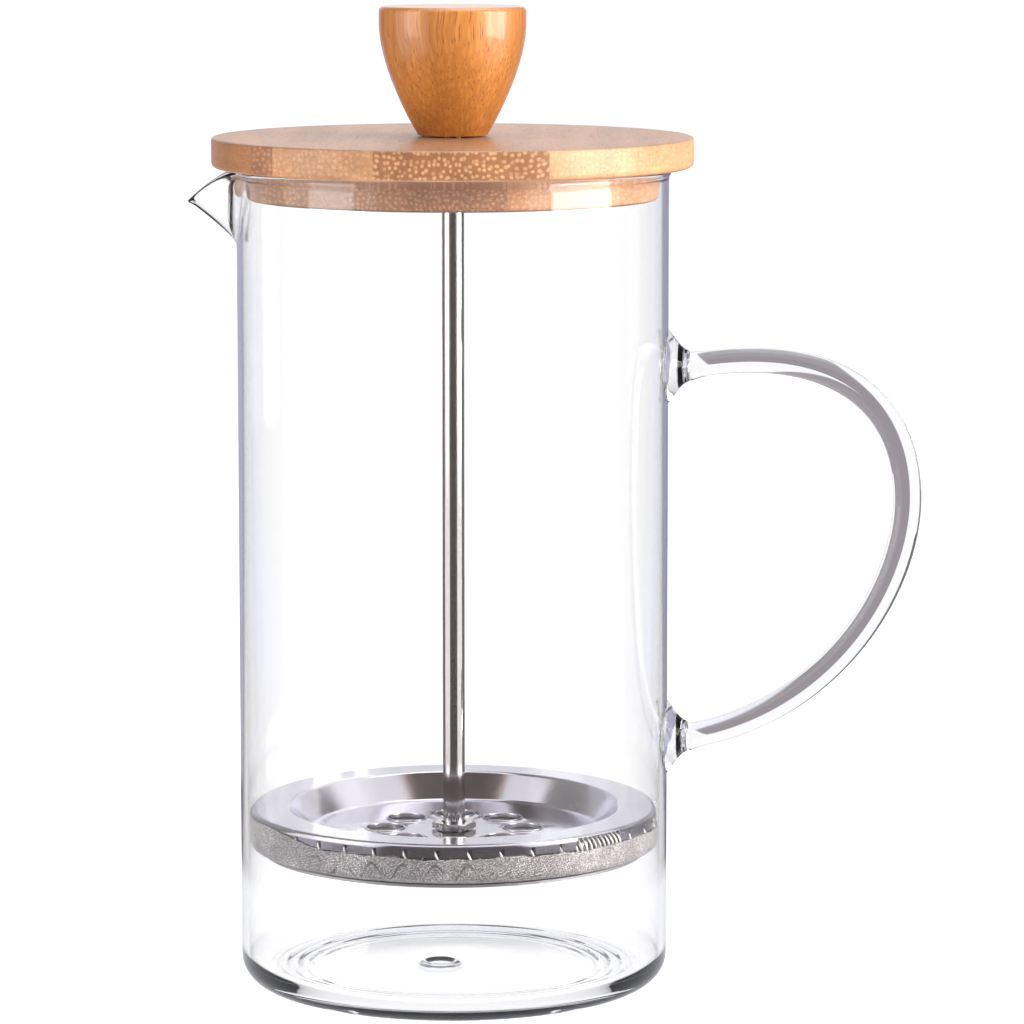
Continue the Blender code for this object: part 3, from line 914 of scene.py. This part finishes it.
@dataclass
class GlassJug:
    """The blown beaker with its spout, and the glass rod handle fused to its side."""

    radius: float = 48.5
    wall: float = 1.6
    floor_top: float = 3.0
    rim_top: float = 185.0
    bead: float = 1.0
    outer_corner: float = 6.0
    inner_corner: float = 4.6
    spout_reach: float = 11.0
    spout_drop: float = 7.2
    spout_base: float = 168.0
    spout_spread: float = 5.5
    spout_flare: float = 3.0
    spout_curve: float = 1.2
    ripple_start: float = 30.0
    ripple_end: float = 42.3
    ripple_pitch: float = 2.7
    ripple_depth: float = 0.09
    scar_x: float = -3.2
    scar_radius: float = 3.6
    scar_height: float = 0.6
    handle_top: float = 140.4
    handle_foot: float = 55.7
    handle_neck: float = 53.4
    handle_widest: tuple[float, float] = (102.55, 110.0)
    handle_reach: float = 33.3
    handle_rise: float = 10.0
    handle_bows: tuple[float, float] = (22.2, 20.0)
    rod: tuple[tuple[float, float], ...] = ((56.0, 2.95), (84.0, 3.1), (102.5, 3.3))
    flare: tuple[tuple[float, float], ...] = (
        (47.5, 9.4), (48.0, 8.9), (48.5, 8.35), (48.9, 7.9), (49.3, 7.35), (49.8, 6.7), (50.4, 5.85),
        (51.0, 5.05), (51.6, 4.4), (52.3, 3.85), (53.2, 3.4), (54.4, 3.1), (56.0, 2.95),
    )

    def floor_height(self, radius: float) -> float:
        """The height of the floor's upper face, with the ripples that the mould leaves near its edge."""
        past = radius - self.ripple_start
        share = max(0.0, min(1.0, past / 4.0)) * max(0.0, min(1.0, (self.ripple_end - radius) / 1.5))
        return self.floor_top + self.ripple_depth * share * math.sin(2 * math.pi * past / self.ripple_pitch)

    def outline(self) -> Outline:
        """The beaker's section: over the floor, up the inside, round the rim and down the outside."""
        inner = self.radius - self.wall
        corner = inner - self.inner_corner
        bead_middle, bead_z = inner + self.bead, self.rim_top - self.bead
        rows = [8.5 + 4.0 * step for step in range(40)]
        rows += [float(z) for z in np.arange(self.spout_base, bead_z - 2.2, 0.8)]
        radii = [0.3 * step for step in range(32)]
        radii += [float(r) for r in np.arange(10.0, self.ripple_start, 2.0)]
        radii += [float(r) for r in np.arange(self.ripple_start, corner, 0.3)]
        outline = [(r, self.floor_height(r)) for r in radii]
        outline += arc((corner, self.floor_top + self.inner_corner), self.inner_corner, -90, 0, 14)
        outline += [(inner, z) for z in rows]
        outline += arc((bead_middle, bead_z), self.bead, 180, -30, 18)
        tucks = ((0.26, 1.5), (0.1, 1.8), (0.0, 2.1), (0.0, 2.8))
        outline += bezier([(self.radius + out, self.rim_top - down) for out, down in tucks], 5)[1:]
        outline += [(self.radius, z) for z in reversed(rows)]
        outline += arc((self.radius - self.outer_corner, self.outer_corner), self.outer_corner, 0, -90, 16)
        outline += bezier(((40.0, 0.0), (37.0, 0.05), (34.0, 0.4), (30.0, 0.55)), 8)
        return outline + [(15.0, 0.6), (0.0, 0.6)]

    def columns(self) -> list[float]:
        """The angles of the beaker's columns, crowded towards the spout at -X."""
        even = np.linspace(-math.pi, math.pi, 420, endpoint=False)
        crowded = even - 0.62 * np.sin(even)
        return [float(angle) + math.pi for angle in crowded]

    def draw_spout(self, points: np.ndarray) -> np.ndarray:
        """Pull the rim out and down at -X into the spout, and raise the pontil scar in the floor."""
        x, y, z = points.T.copy()
        turn = np.arctan2(y, -x)
        rise = np.clip((z - self.spout_base) / (self.rim_top - self.spout_base), 0.0, None)
        spread = self.spout_spread + self.spout_flare * rise**2
        share = np.exp(-((turn / np.radians(spread)) ** 2))
        x -= self.spout_reach * share * rise**self.spout_curve
        z -= self.spout_drop * share**1.5 * rise
        away = np.hypot(x - self.scar_x, y)
        on_floor = (z > 1.5) & (z < 4.5) & (away < 12.0)
        ring = self.scar_height * np.exp(-(((away - self.scar_radius) / 0.85) ** 2))
        z += np.where(on_floor, ring, 0.0)
        return np.stack([x, y, z], axis=1)

    def handle_shell(self) -> Shell:
        """The handle's rod, with a flare that runs out onto the wall at both ends."""
        rise = math.radians(self.handle_rise)
        wide_x, wide_z = self.handle_widest
        neck = self.handle_neck
        out = neck + self.handle_reach * math.cos(rise)
        up = self.handle_reach * math.sin(rise)
        upper_bow, lower_bow = self.handle_bows
        widest, above, below = (wide_x, wide_z), (wide_x, wide_z + upper_bow), (wide_x, wide_z - lower_bow)
        upper = bezier(((neck, self.handle_top), (out, self.handle_top + up), above, widest), 48)
        lower = bezier((widest, below, (out, self.handle_foot + up), (neck, self.handle_foot)), 48)
        start = [(x, self.handle_top) for x, _ in self.flare if x < neck]
        end = [(x, self.handle_foot) for x, _ in reversed(self.flare) if x < neck]
        route = np.array(start + upper + lower[1:] + end)
        path = np.stack([route[:, 0], np.zeros(len(route)), route[:, 1]], axis=1)
        height = np.clip((route[:, 1] - self.handle_foot) / (self.handle_top - self.handle_foot), 0.0, 1.0)
        rod = np.interp(route[:, 0], *zip(*self.rod)) + 0.04 * (0.5 - height)
        flared = np.interp(route[:, 0], *zip(*self.flare))
        radii = np.where(route[:, 0] < self.rod[0][0], flared, rod)
        return swept(path, radii, 48)

    def build(self, effects: Effects) -> None:
        """Make the jug and dress it in glass."""
        beaker = turned(self.outline(), self.columns()).bent(self.draw_spout)
        jug = new_object("glass_jug", beaker)
        change(jug, self.handle_shell(), Boolean.ADD)
        glass = GlassFinish("blown_glass").make(effects)
        place_piece(jug, glass, "beaker", "glass", "glass_beaker", "glass_handle")


@dataclass
class BambooLid:
    """The lid: a wide board on top, a narrower plug under it, and a steel bush for the rod."""

    disc_radius: float = 54.0
    disc_bottom: float = 185.3
    disc_top: float = 192.0
    top_edge: float = 0.7
    lower_edge: float = 1.3
    plug_top_radius: float = 46.5
    plug_lower_radius: float = 46.1
    plug_bottom: float = 178.3
    plug_top: float = 185.0
    plug_edge: float = 1.0
    bore: float = 3.75

    def build(self, effects: Effects) -> None:
        """Make both boards and dress them and the bush."""
        top, low, radius = self.disc_top, self.disc_bottom, self.disc_radius
        disc = line((self.bore + 0.3, top), (radius - self.top_edge, top), 24)
        disc += arc((radius - self.top_edge, top - self.top_edge), self.top_edge, 90, 0, 8)[1:]
        disc += arc((radius - self.lower_edge, low + self.lower_edge), self.lower_edge, 0, -90, 8)
        disc += line((radius - self.lower_edge - 1.0, low), (self.bore, low), 12) + [(self.bore, top - 0.3)]
        board = new_object("lid_board", turned(disc, 256, closed=True))
        place_piece(board, DISC_BAMBOO.make(effects), "lid", "bamboo", "lid_disc")

        top, low = self.plug_top, self.plug_bottom
        plug = line((self.bore, top), (self.plug_top_radius - 0.4, top), 12)
        plug += arc((self.plug_top_radius - 0.4, top - 0.4), 0.4, 90, 0, 4)[1:]
        radius, edge = self.plug_lower_radius, self.plug_edge
        plug += arc((radius - edge, low + edge), edge, 0, -90, 8)
        plug += line((radius - 2.0, low), (self.bore, low), 12)
        lower = new_object("lid_plug_board", turned(plug, 256, closed=True))
        place_piece(lower, PLUG_BAMBOO.make(effects), "lid", "bamboo", "lid_plug")
        keep_node("lid_bush", POLISHED_STEEL.make(effects))


@dataclass
class PlungerRod:
    """The polished rod, threaded at both ends, and the thin nut that bears on the filter."""

    radius: float = 2.5
    bottom: float = 26.0
    top: float = 205.0
    pitch: float = 0.8
    thread_depth: float = 0.42
    lower_thread: float = 34.4
    upper_thread: float = 193.0
    columns: int = 40

    def thread_outline(self, low: float, high: float) -> list[float]:
        """The heights of the rows that carry a thread."""
        return [float(z) for z in np.arange(low, high + 1e-6, self.pitch / 8)]

    def cut_thread(self, points: np.ndarray) -> np.ndarray:
        """Press a helical groove into the rows that carry a thread."""
        x, y, z = points.T
        turn = np.arctan2(y, x) / (2 * math.pi)
        phase = (z / self.pitch - turn) % 1.0
        groove = 1.0 - np.abs(phase - 0.5) * 2.0
        threaded = (z < self.lower_thread) & (z > self.bottom + 0.4)
        threaded |= (z > self.upper_thread) & (z < self.top - 0.4)
        scale = np.where(threaded, 1.0 - self.thread_depth * groove / self.radius, 1.0)
        return np.stack([x * scale, y * scale, z], axis=1)

    def build(self, effects: Effects) -> None:
        """Make the rod and dress it and the nut."""
        edge = 0.4
        outline = [(0.0, self.bottom), (self.radius - edge - 0.4, self.bottom)]
        outline += [(self.radius - 0.2, z) if z < self.bottom + edge else (self.radius, z)
                    for z in self.thread_outline(self.bottom + 0.1, self.lower_thread + 0.6)]
        outline += line((self.radius, self.lower_thread + 1.0), (self.radius, self.upper_thread - 0.4), 60)
        outline += [(self.radius, z) for z in self.thread_outline(self.upper_thread - 0.2, self.top - edge)]
        outline += [(self.radius - edge, self.top), (0.0, self.top)]
        rod = new_object("rod", turned(outline, self.columns).bent(self.cut_thread))
        place_piece(rod, ROD_STEEL.make(effects), "plunger", "polished_steel", "plunger_rod")
        keep_node("lock_nut", POLISHED_STEEL.make(effects))


@dataclass
class TurnedKnob:
    """The turned knob with a blind hole for its brass insert."""

    radius: float = 16.5
    widest: float = 217.4
    top: float = 221.0
    foot: float = 192.3
    foot_radius: float = 7.95
    top_edge: float = 1.2
    foot_rise: float = 60.7
    foot_bow: float = 7.4
    upper_bow: float = 8.2
    hole: float = 4.3
    hole_top: float = 206.2

    def build(self, effects: Effects) -> None:
        """Make the knob and dress it and its insert."""
        rise = math.radians(self.foot_rise)
        outline = [(0.0, self.top)] + line((2.0, self.top), (self.radius - self.top_edge - 0.5, self.top), 10)
        outline += arc((self.radius - self.top_edge, self.top - self.top_edge), self.top_edge, 90, 0, 12)
        outline += line((self.radius, self.top - self.top_edge - 0.4), (self.radius, self.widest + 0.3), 4)
        outline += bezier((
            (self.radius, self.widest),
            (self.radius, self.widest - self.upper_bow),
            (self.foot_radius + self.foot_bow * math.cos(rise), self.foot + self.foot_bow * math.sin(rise)),
            (self.foot_radius, self.foot + 0.35),
        ), 48)
        outline += [(self.foot_radius - 0.12, self.foot + 0.1), (self.foot_radius - 0.4, self.foot)]
        outline += [(self.hole + 0.3, self.foot), (self.hole, self.foot + 0.3)]
        outline += [(self.hole, self.hole_top), (0.0, self.hole_top)]
        knob = new_object("turned_knob", turned(outline, 192))
        place_piece(knob, KNOB_BAMBOO.make(effects), "knob", "lacquered_bamboo", "knob")
        keep_node("knob_insert", INSERT_BRASS.make(effects))


@dataclass
class FilterPack:
    """The dished top plate, the coil spring laid round as a ring, and the woven screen."""

    flange_z: float = 40.25
    flange_radius: float = 46.1
    flange_inner: float = 37.75
    bend: float = 0.9
    band_bottom: float = 37.3
    dish_z: float = 34.3
    dish_slope: float = 50.0
    dish_blend: float = 1.5
    sheet: float = 0.4
    bore: float = 2.85
    holes: int = 8
    hole_circle: float = 15.7
    hole_radius: float = 4.2
    lip_height: float = 0.5
    notches: int = 41
    notch_width: float = 1.1
    notch_top: float = 39.0
    wide_notch: float = -45.5
    wide_notch_width: float = 13.3
    tight_turns: int = 10
    spring_ring: float = 43.15
    spring_across: float = 2.95
    spring_up: float = 2.3
    spring_z: float = 37.2
    spring_wire: float = 0.26
    screen_radius: float = 46.5
    screen_top: float = 37.1
    screen_ride: float = 2.3
    screen_sheet: float = 0.25

    def notch_columns(self) -> tuple[list[float], list[bool]]:
        """The plate's columns, with an edge at each side of every notch.

        Returns:
            The angle of each column, and whether the band is open from that column to the next.
        """
        half = self.notch_width / 2 / self.flange_radius
        wide = self.wide_notch_width / 2 / self.flange_radius
        wide_at = math.radians(self.wide_notch) % (2 * math.pi)
        pitch = 2 * math.pi / self.notches
        spans = [(wide_at - wide, wide_at + wide)]
        for index in range(1, self.notches - 1):
            middle = wide_at + pitch * (index + 0.5)
            spans.append((middle - half, middle + half))
        angles: list[float] = []
        openings: list[bool] = []
        for index, (start, end) in enumerate(spans):
            following = spans[index + 1][0] if index + 1 < len(spans) else spans[0][0] + 2 * math.pi
            inside = max(2, round((end - start) * self.flange_radius / 0.5))
            outside = max(3, round((following - end) * self.flange_radius / 0.9))
            angles += [start + (end - start) * k / inside for k in range(inside)]
            openings += [True] * inside
            angles += [end + (following - end) * k / outside for k in range(outside)]
            openings += [False] * outside
        return angles, openings

    def plate(self, effects: Effects) -> None:
        """The pressed top plate: a dish, a flat flange and a notched band turned down at its edge."""
        angles, openings = self.notch_columns()
        steep, blend = math.radians(self.dish_slope), self.dish_blend
        foot_run = (self.flange_z - self.dish_z) / math.tan(steep)
        foot = self.flange_inner - foot_run
        back = blend * math.tan(steep / 2)
        wall = arc((foot - back, self.dish_z + blend), blend, -90, -90 + self.dish_slope, 8)
        wall += arc((self.flange_inner + back, self.flange_z - blend), blend, 90 + self.dish_slope, 90, 8)
        outline = line((self.bore, self.dish_z), (foot - back - 1.0, self.dish_z), 8) + wall
        bend_at = self.flange_radius - self.bend
        outline += line((self.flange_inner + 1.4, self.flange_z), (bend_at - 0.2, self.flange_z), 5)
        outline += arc((bend_at, self.flange_z - self.bend), self.bend, 90, 0, 6)
        rows = len(outline)
        outline += line((self.flange_radius, self.notch_top), (self.flange_radius, self.band_bottom), 4)
        shell = turned(outline, angles)
        columns = len(angles)
        wide_end = angles[0] + self.wide_notch_width / self.flange_radius - 1e-6
        wide = sum(1 for angle in angles if angle < wide_end)
        kept = []
        for index, face in enumerate(shell.faces):
            row, column = divmod(index, columns)
            if openings[column] and row >= (rows - 3 if column < wide else rows):
                continue
            kept.append(face)
        plate = new_object("dished_plate", Shell(shell.points, kept))
        thicken(plate, self.sheet, -1.0)
        hole, floor, lip_top = self.hole_radius, self.dish_z, self.dish_z + self.lip_height
        lip = [(hole, floor - self.sheet), (hole, lip_top - 0.3)]
        lip += arc((hole + 0.25, lip_top - 0.25), 0.25, 180, 20, 5)
        lip += bezier((
            (hole + 0.5, lip_top - 0.4), (hole + 0.6, floor + 0.35),
            (hole + 0.9, floor + 0.02), (hole + 1.5, floor),
        ), 6)
        lip += [(hole + 1.5, floor - self.sheet + 0.05)]
        ring = turned(lip, 40, closed=True)
        punch = [(0.0, floor + 2.0), (hole + 0.2, floor + 2.0), (hole + 0.2, floor - 2.0), (0.0, floor - 2.0)]
        cutter = turned(punch, 40)
        turns = [2 * math.pi * index / self.holes for index in range(self.holes)]
        spots = [(self.hole_circle * math.cos(turn), self.hole_circle * math.sin(turn)) for turn in turns]
        rings = reduce(Shell.joined, (ring.moved(x, y, 0.0) for x, y in spots))
        cutters = reduce(Shell.joined, (cutter.moved(x, y, 0.0) for x, y in spots))
        change(plate, cutters, Boolean.CUT)
        change(plate, rings, Boolean.ADD)
        place_piece(plate, PLATE_STEEL.make(effects), "filter_pack", "polished_steel", "spiral_plate")

    def spring(self, effects: Effects) -> None:
        """The spring: one coil to each notch, and a tight run of coils where its ends meet."""
        pitch = 360.0 / self.notches
        tight = math.degrees(self.wide_notch_width / self.flange_radius)
        start = self.wide_notch - tight / 2
        knots_at = [start, start + tight]
        knots_turn = [0.0, float(self.tight_turns)]
        for index in range(1, self.notches - 1):
            knots_at.append(self.wide_notch + pitch * (index + 0.5))
            knots_turn.append(knots_turn[-1] + 1.0)
        knots_at.append(start + 360.0)
        knots_turn.append(knots_turn[-1] + 1.0)
        turns = knots_turn[-1]
        steps = int(turns * 22)
        coil = np.linspace(0.0, turns, steps, endpoint=False)
        around = np.radians(np.interp(coil, knots_turn, knots_at))
        radius = self.spring_ring + self.spring_across * np.cos(2 * math.pi * coil)
        height = self.spring_z - self.spring_up * np.sin(2 * math.pi * coil)
        path = np.stack([radius * np.cos(around), radius * np.sin(around), height], axis=1)
        spring = new_object("ring_spring", swept(path, np.full(steps, self.spring_wire), 8, looped=True))
        place_piece(spring, SPRING_STEEL.make(effects), "filter_pack", "wire_steel", "coil_spring")

    def ragged_edge(self, points: np.ndarray) -> np.ndarray:
        """Let the screen's cut edge wander, and ride up over the plate's band on the spout's side."""
        x, y, z = points.T.copy()
        turn = np.arctan2(y, x)
        wander = 0.18 * np.sin(9 * turn + 0.6) + 0.12 * np.sin(23 * turn) + 0.10 * np.sin(61 * turn + 1.1)
        near = np.clip((np.radians(-122.0) - turn) / np.radians(30.0), 0.0, 1.0)
        far = np.clip((turn - np.radians(140.0)) / np.radians(30.0), 0.0, 1.0)
        ridden = near + far
        wander = wander * (1.0 - 0.8 * ridden) + self.screen_ride * ridden**2 * (3.0 - 2.0 * ridden)
        share = np.clip((z - 35.8) / (self.screen_top - 35.8), 0.0, 1.0)
        return np.stack([x, y, z + wander * share], axis=1)

    def screen(self, effects: Effects) -> None:
        """The woven screen: flat in the middle, a trough under the spring, and an upturned skirt."""
        skirt = self.screen_radius
        outline = line((skirt, self.screen_top), (skirt - 0.05, 34.0), 8)
        outline += bezier(((skirt - 0.1, 33.6), (skirt - 0.25, 31.9), (skirt - 1.4, 31.35), (43.6, 31.3)), 10)
        outline += line((42.0, 31.3), (32.5, 31.3), 5)
        outline += bezier(((32.0, 31.3), (30.5, 31.35), (29.5, 33.2), (27.5, 33.25)), 8)
        outline += line((25.0, 33.25), (self.bore + 0.1, 33.25), 6)
        screen = new_object("woven_screen", turned(outline, 288).bent(self.ragged_edge))
        thicken(screen, self.screen_sheet, 0.0)
        finish = ScreenFinish("woven_wire", tone(214, 206, 206), self.screen_radius)
        place_piece(screen, finish.make(effects), "filter_pack", "wire_steel", "mesh_screen")

    def build(self, effects: Effects) -> None:
        """Make and dress the three pieces."""
        self.plate(effects)
        self.spring(effects)
        self.screen(effects)


@dataclass
class CrossPlate:
    """The bottom plate with its arms, and its threaded hub."""

    def build(self, effects: Effects) -> None:
        """Dress both pieces."""
        steel = SATIN_STEEL.make(effects)
        keep_node("cross_plate", steel)
        keep_node("cross_plate_hub", steel)


# Studio ------------------------------------------------------------------------------------------


@dataclass
class Softbox:
    """A rectangular lamp that looks at a point on the press."""

    name: str
    place: tuple[float, float, float]
    size: tuple[float, float]
    brightness: float
    colour: tuple[float, float, float] = (1.0, 1.0, 1.0)
    aim: tuple[float, float, float] = (0.0, 0.0, 110.0)
    mirrored: bool = True

    def build(self) -> None:
        """Make the lamp."""
        lamp = bpy.data.lights.new(self.name, "AREA")
        lamp.shape = "RECTANGLE"
        lamp.size, lamp.size_y = self.size[0] * MM, self.size[1] * MM
        lamp.energy = self.brightness * math.pi * lamp.size * lamp.size_y
        lamp.color = self.colour
        obj = bpy.data.objects.new(self.name, lamp)
        obj.location = Vector(self.place) * MM
        obj.rotation_euler = (Vector(self.aim) - Vector(self.place)).to_track_quat("-Z", "Y").to_euler()
        obj.visible_camera = False
        obj.visible_glossy = self.mirrored
        obj.visible_transmission = self.mirrored
        bpy.context.scene.collection.objects.link(obj)


@dataclass
class Studio:
    """A pale floor, soft light and the camera."""

    camera_place: tuple[float, float, float] = (13.24, -1048.8, 253.8)
    camera_tilt: float = 82.04
    lens: float = 164.6
    floor_reach: float = 6000.0
    floor_z: float = -0.25
    handle_side: float = 50.0
    horizon_turn: float = 8.0
    lit_share: float = 0.62
    lamps: tuple[Softbox, ...] = (
        Softbox("right_softbox", (740.0, -240.0, 320.0), (560.0, 640.0), 6.6, (1.0, 0.98, 0.94)),
        Softbox("left_softbox", (-740.0, -330.0, 300.0), (420.0, 600.0), 2.4, (0.98, 0.99, 1.0)),
        Softbox("top_softbox", (60.0, 120.0, 900.0), (700.0, 600.0), 1.9),
        Softbox(
            "low_softbox", (160.0, -800.0, 40.0), (500.0, 300.0), 2.0, aim=(0.0, 0.0, 200.0), mirrored=False
        ),
    )

    def seen(self, nodes: Nodes, surround: bpy.types.Node, plain: Value) -> tuple[Socket, Socket]:
        """Choose what a ray sees by what it has passed on its way.

        Args:
            nodes: The tree that the choice is added to.
            surround: The node of the studio_surround group.
            plain: The colour for a ray that comes straight from the camera.

        Returns:
            The colour, and 1 where the ray has met metal or glass and no matt surface.
        """
        path = nodes.add("ShaderNodeLightPath")
        passed = path.outputs["Transmission Depth"]
        through = nodes.maths("GREATER_THAN", passed, 0.5)
        twice = nodes.maths("GREATER_THAN", passed, 3.5)
        inside = nodes.minus(through, twice)
        mirrored = nodes.maths("GREATER_THAN", path.outputs["Glossy Depth"], 0.5)
        matt = nodes.maths("GREATER_THAN", path.outputs["Diffuse Depth"], 0.5)
        colour = nodes.blend(through, plain, surround.outputs["Rod"])
        colour = nodes.blend(twice, colour, surround.outputs["Wall"])
        shine = nodes.blend(inside, surround.outputs["Mirror"], surround.outputs["Sheen"])
        colour = nodes.blend(mirrored, colour, shine)
        special = nodes.times(nodes.maths("MAXIMUM", through, mirrored), nodes.minus(1.0, matt))
        return colour, special

    def build_floor(self, effects: Effects) -> None:
        """The floor, a hair below the beaker so that the two faces stay apart."""
        reach = self.floor_reach
        corners = np.array([(-reach, -reach, self.floor_z), (reach, -reach, self.floor_z),
                            (reach, reach, self.floor_z), (-reach, reach, self.floor_z)])
        floor = new_object("floor", Shell(corners, [(0, 1, 2, 3)]))
        look = Look("floor_paper")
        nodes, position = look.nodes, look.position
        fleck = nodes.remap(nodes.noise(position, 0.4, detail=3.0), 0.3, 0.7, 0.86, 0.9)
        paper = nodes.fill(
            look.shader,
            Base_Color=nodes.combine(fleck, fleck, fleck),
            Roughness=0.9,
            Specular_IOR_Level=0.1,
            Emission_Color=(1.0, 1.0, 1.0, 1.0),
            Emission_Strength=0.5,
        )
        from_handle = nodes.vector("SUBTRACT", position, (self.handle_side, 0.0, 0.0))
        east, north, _ = nodes.split(position)
        reach = nodes.maths("SQRT", nodes.plus(nodes.times(east, east), nodes.times(north, north)))
        surround = nodes.place(
            effects.surround,
            Direction=position,
            Handle_Direction=nodes.vector("NORMALIZE", from_handle),
            Near=nodes.remap(reach, 225.0, 265.0, 1.0, 0.0),
            Beside=nodes.remap(reach, 260.0, 600.0, 1.0, 0.0),
            Under=nodes.remap(reach, 120.0, 155.0, 1.0, 0.0),
        )
        # For rays that have passed glass or met metal the floor glows with the surround's colours instead:
        # painted reflections and refractions, the dark bands in the glass rod among them.
        colour, special = self.seen(nodes, surround, WHITE)
        glow = nodes.fill(nodes.add("ShaderNodeEmission"), Color=colour)
        nodes.fill(look.output, Surface=nodes.mixed(special, paper, glow))
        look.material.cycles.emission_sampling = "NONE"
        dress(floor, look.material)

    def build_world(self, effects: Effects) -> None:
        """A white surround. It lights matt surfaces less than it shows, so that the lamps shape them."""
        world = bpy.data.worlds.new("surround")
        world.use_nodes = True
        nodes = Nodes(world.node_tree)
        nodes.tree.nodes.clear()
        direction = nodes.add("ShaderNodeTexCoord").outputs["Generated"]
        rotate = nodes.add("ShaderNodeVectorRotate", rotation_type="Z_AXIS")
        turned_direction = nodes.fill(rotate, Angle=math.radians(self.horizon_turn), Vector=direction)
        surround = nodes.place(effects.surround, Direction=direction, Handle_Direction=turned_direction)
        colour, _ = self.seen(nodes, surround, WHITE)
        path = next(node for node in nodes.tree.nodes if node.type == "LIGHT_PATH")
        matt = nodes.maths("GREATER_THAN", path.outputs["Diffuse Depth"], 0.5)
        share = self.lit_share
        shown = nodes.blend(matt, colour, (share, share, share, 1.0))
        background = nodes.fill(nodes.add("ShaderNodeBackground"), Color=shown)
        nodes.fill(nodes.add("ShaderNodeOutputWorld"), background)
        world.cycles.sampling_method = "NONE"
        bpy.context.scene.world = world

    def build_camera(self) -> None:
        """The camera, level with the lid and looking slightly down."""
        data = bpy.data.cameras.new("camera")
        data.lens = self.lens
        data.sensor_width = 36.0
        data.clip_end = 50.0
        camera = bpy.data.objects.new("camera", data)
        camera.location = Vector(self.camera_place) * MM
        camera.rotation_euler = (math.radians(self.camera_tilt), 0.0, 0.0)
        bpy.context.scene.collection.objects.link(camera)
        bpy.context.scene.camera = camera

    def build(self, effects: Effects) -> None:
        """Set the whole stage."""
        self.build_floor(effects)
        self.build_world(effects)
        for lamp in self.lamps:
            lamp.build()
        self.build_camera()
        bpy.context.scene.view_settings.view_transform = "Standard"


# The press's own finishes ------------------------------------------------------------------------

DISC_BAMBOO = BambooFinish(
    "disc_bamboo",
    (
        Board(-43.2, tone(162, 110, 72), tone(174, 124, 84), 0.3),
        Board(-38.5, tone(150, 98, 64), tone(184, 136, 98), 0.7),
        Board(-16.4, tone(186, 132, 90), tone(208, 158, 114), 0.7),
        Board(21.2, tone(158, 104, 66), tone(204, 156, 112), 1.0),
        Board(99.0, tone(198, 154, 110), tone(210, 172, 130), 0.5),
    ),
    across=Axis.X,
    fibres=Axis.Y,
    face=tone(176, 130, 98),
    spacing=1.25,
    glue_width=0.15,
)
PLUG_BAMBOO = BambooFinish(
    "plug_bamboo",
    (
        Board(-22.0, tone(170, 120, 84), tone(204, 158, 120), 0.7),
        Board(12.0, tone(164, 112, 78), tone(202, 154, 116), 0.8),
        Board(99.0, tone(186, 130, 88), tone(214, 164, 120), 0.7),
    ),
    across=Axis.X,
    fibres=Axis.Y,
    # Painted shade: the plug's flat faces, its underside among them, are a shaded grey-brown.
    face=tone(92, 74, 66),
    spacing=1.1,
    pores=0.8,
    coat=0.15,
    coat_roughness=0.34,
)
KNOB_BAMBOO = BambooFinish(
    "knob_bamboo",
    (Board(99.0, tone(200, 124, 50), tone(222, 150, 68), 0.5),),
    across=Axis.X,
    fibres=Axis.Z,
    spacing=1.2,
    pores=0.7,
    streaks=0.5,
    coat=0.8,
    coat_roughness=0.12,
)
POLISHED_STEEL = MetalFinish("polished_steel", (0.66, 0.64, 0.64, 1.0), 0.10)
ROD_STEEL = MetalFinish("rod_steel", (0.68, 0.65, 0.64, 1.0), 0.06, lines=(9.0, 9.0, 0.15))
PLATE_STEEL = MetalFinish(
    "plate_steel", (0.66, 0.65, 0.73, 1.0), 0.09, lines=(0.9, 0.9, 3.0), line_depth=0.001
)
SPRING_STEEL = MetalFinish("spring_steel", (0.92, 0.88, 0.86, 1.0), 0.3, metallic=0.6)
SATIN_STEEL = MetalFinish("satin_steel", (0.55, 0.53, 0.53, 1.0), 0.28, line_roughness=0.12)
INSERT_BRASS = MetalFinish("insert_brass", (0.70, 0.50, 0.22, 1.0), 0.28)


def main() -> None:
    """Build each sub-assembly in order, then the studio round it."""
    effects = Effects()
    press = (GlassJug(), BambooLid(), PlungerRod(), TurnedKnob(), FilterPack(), CrossPlate())
    for part in (*press, Studio()):
        part.build(effects)
        log.info("%s is built", type(part).__name__)


if __name__ == "__main__":
    logging.basicConfig(level=logging.INFO, format="%(name)s: %(message)s")
    main()
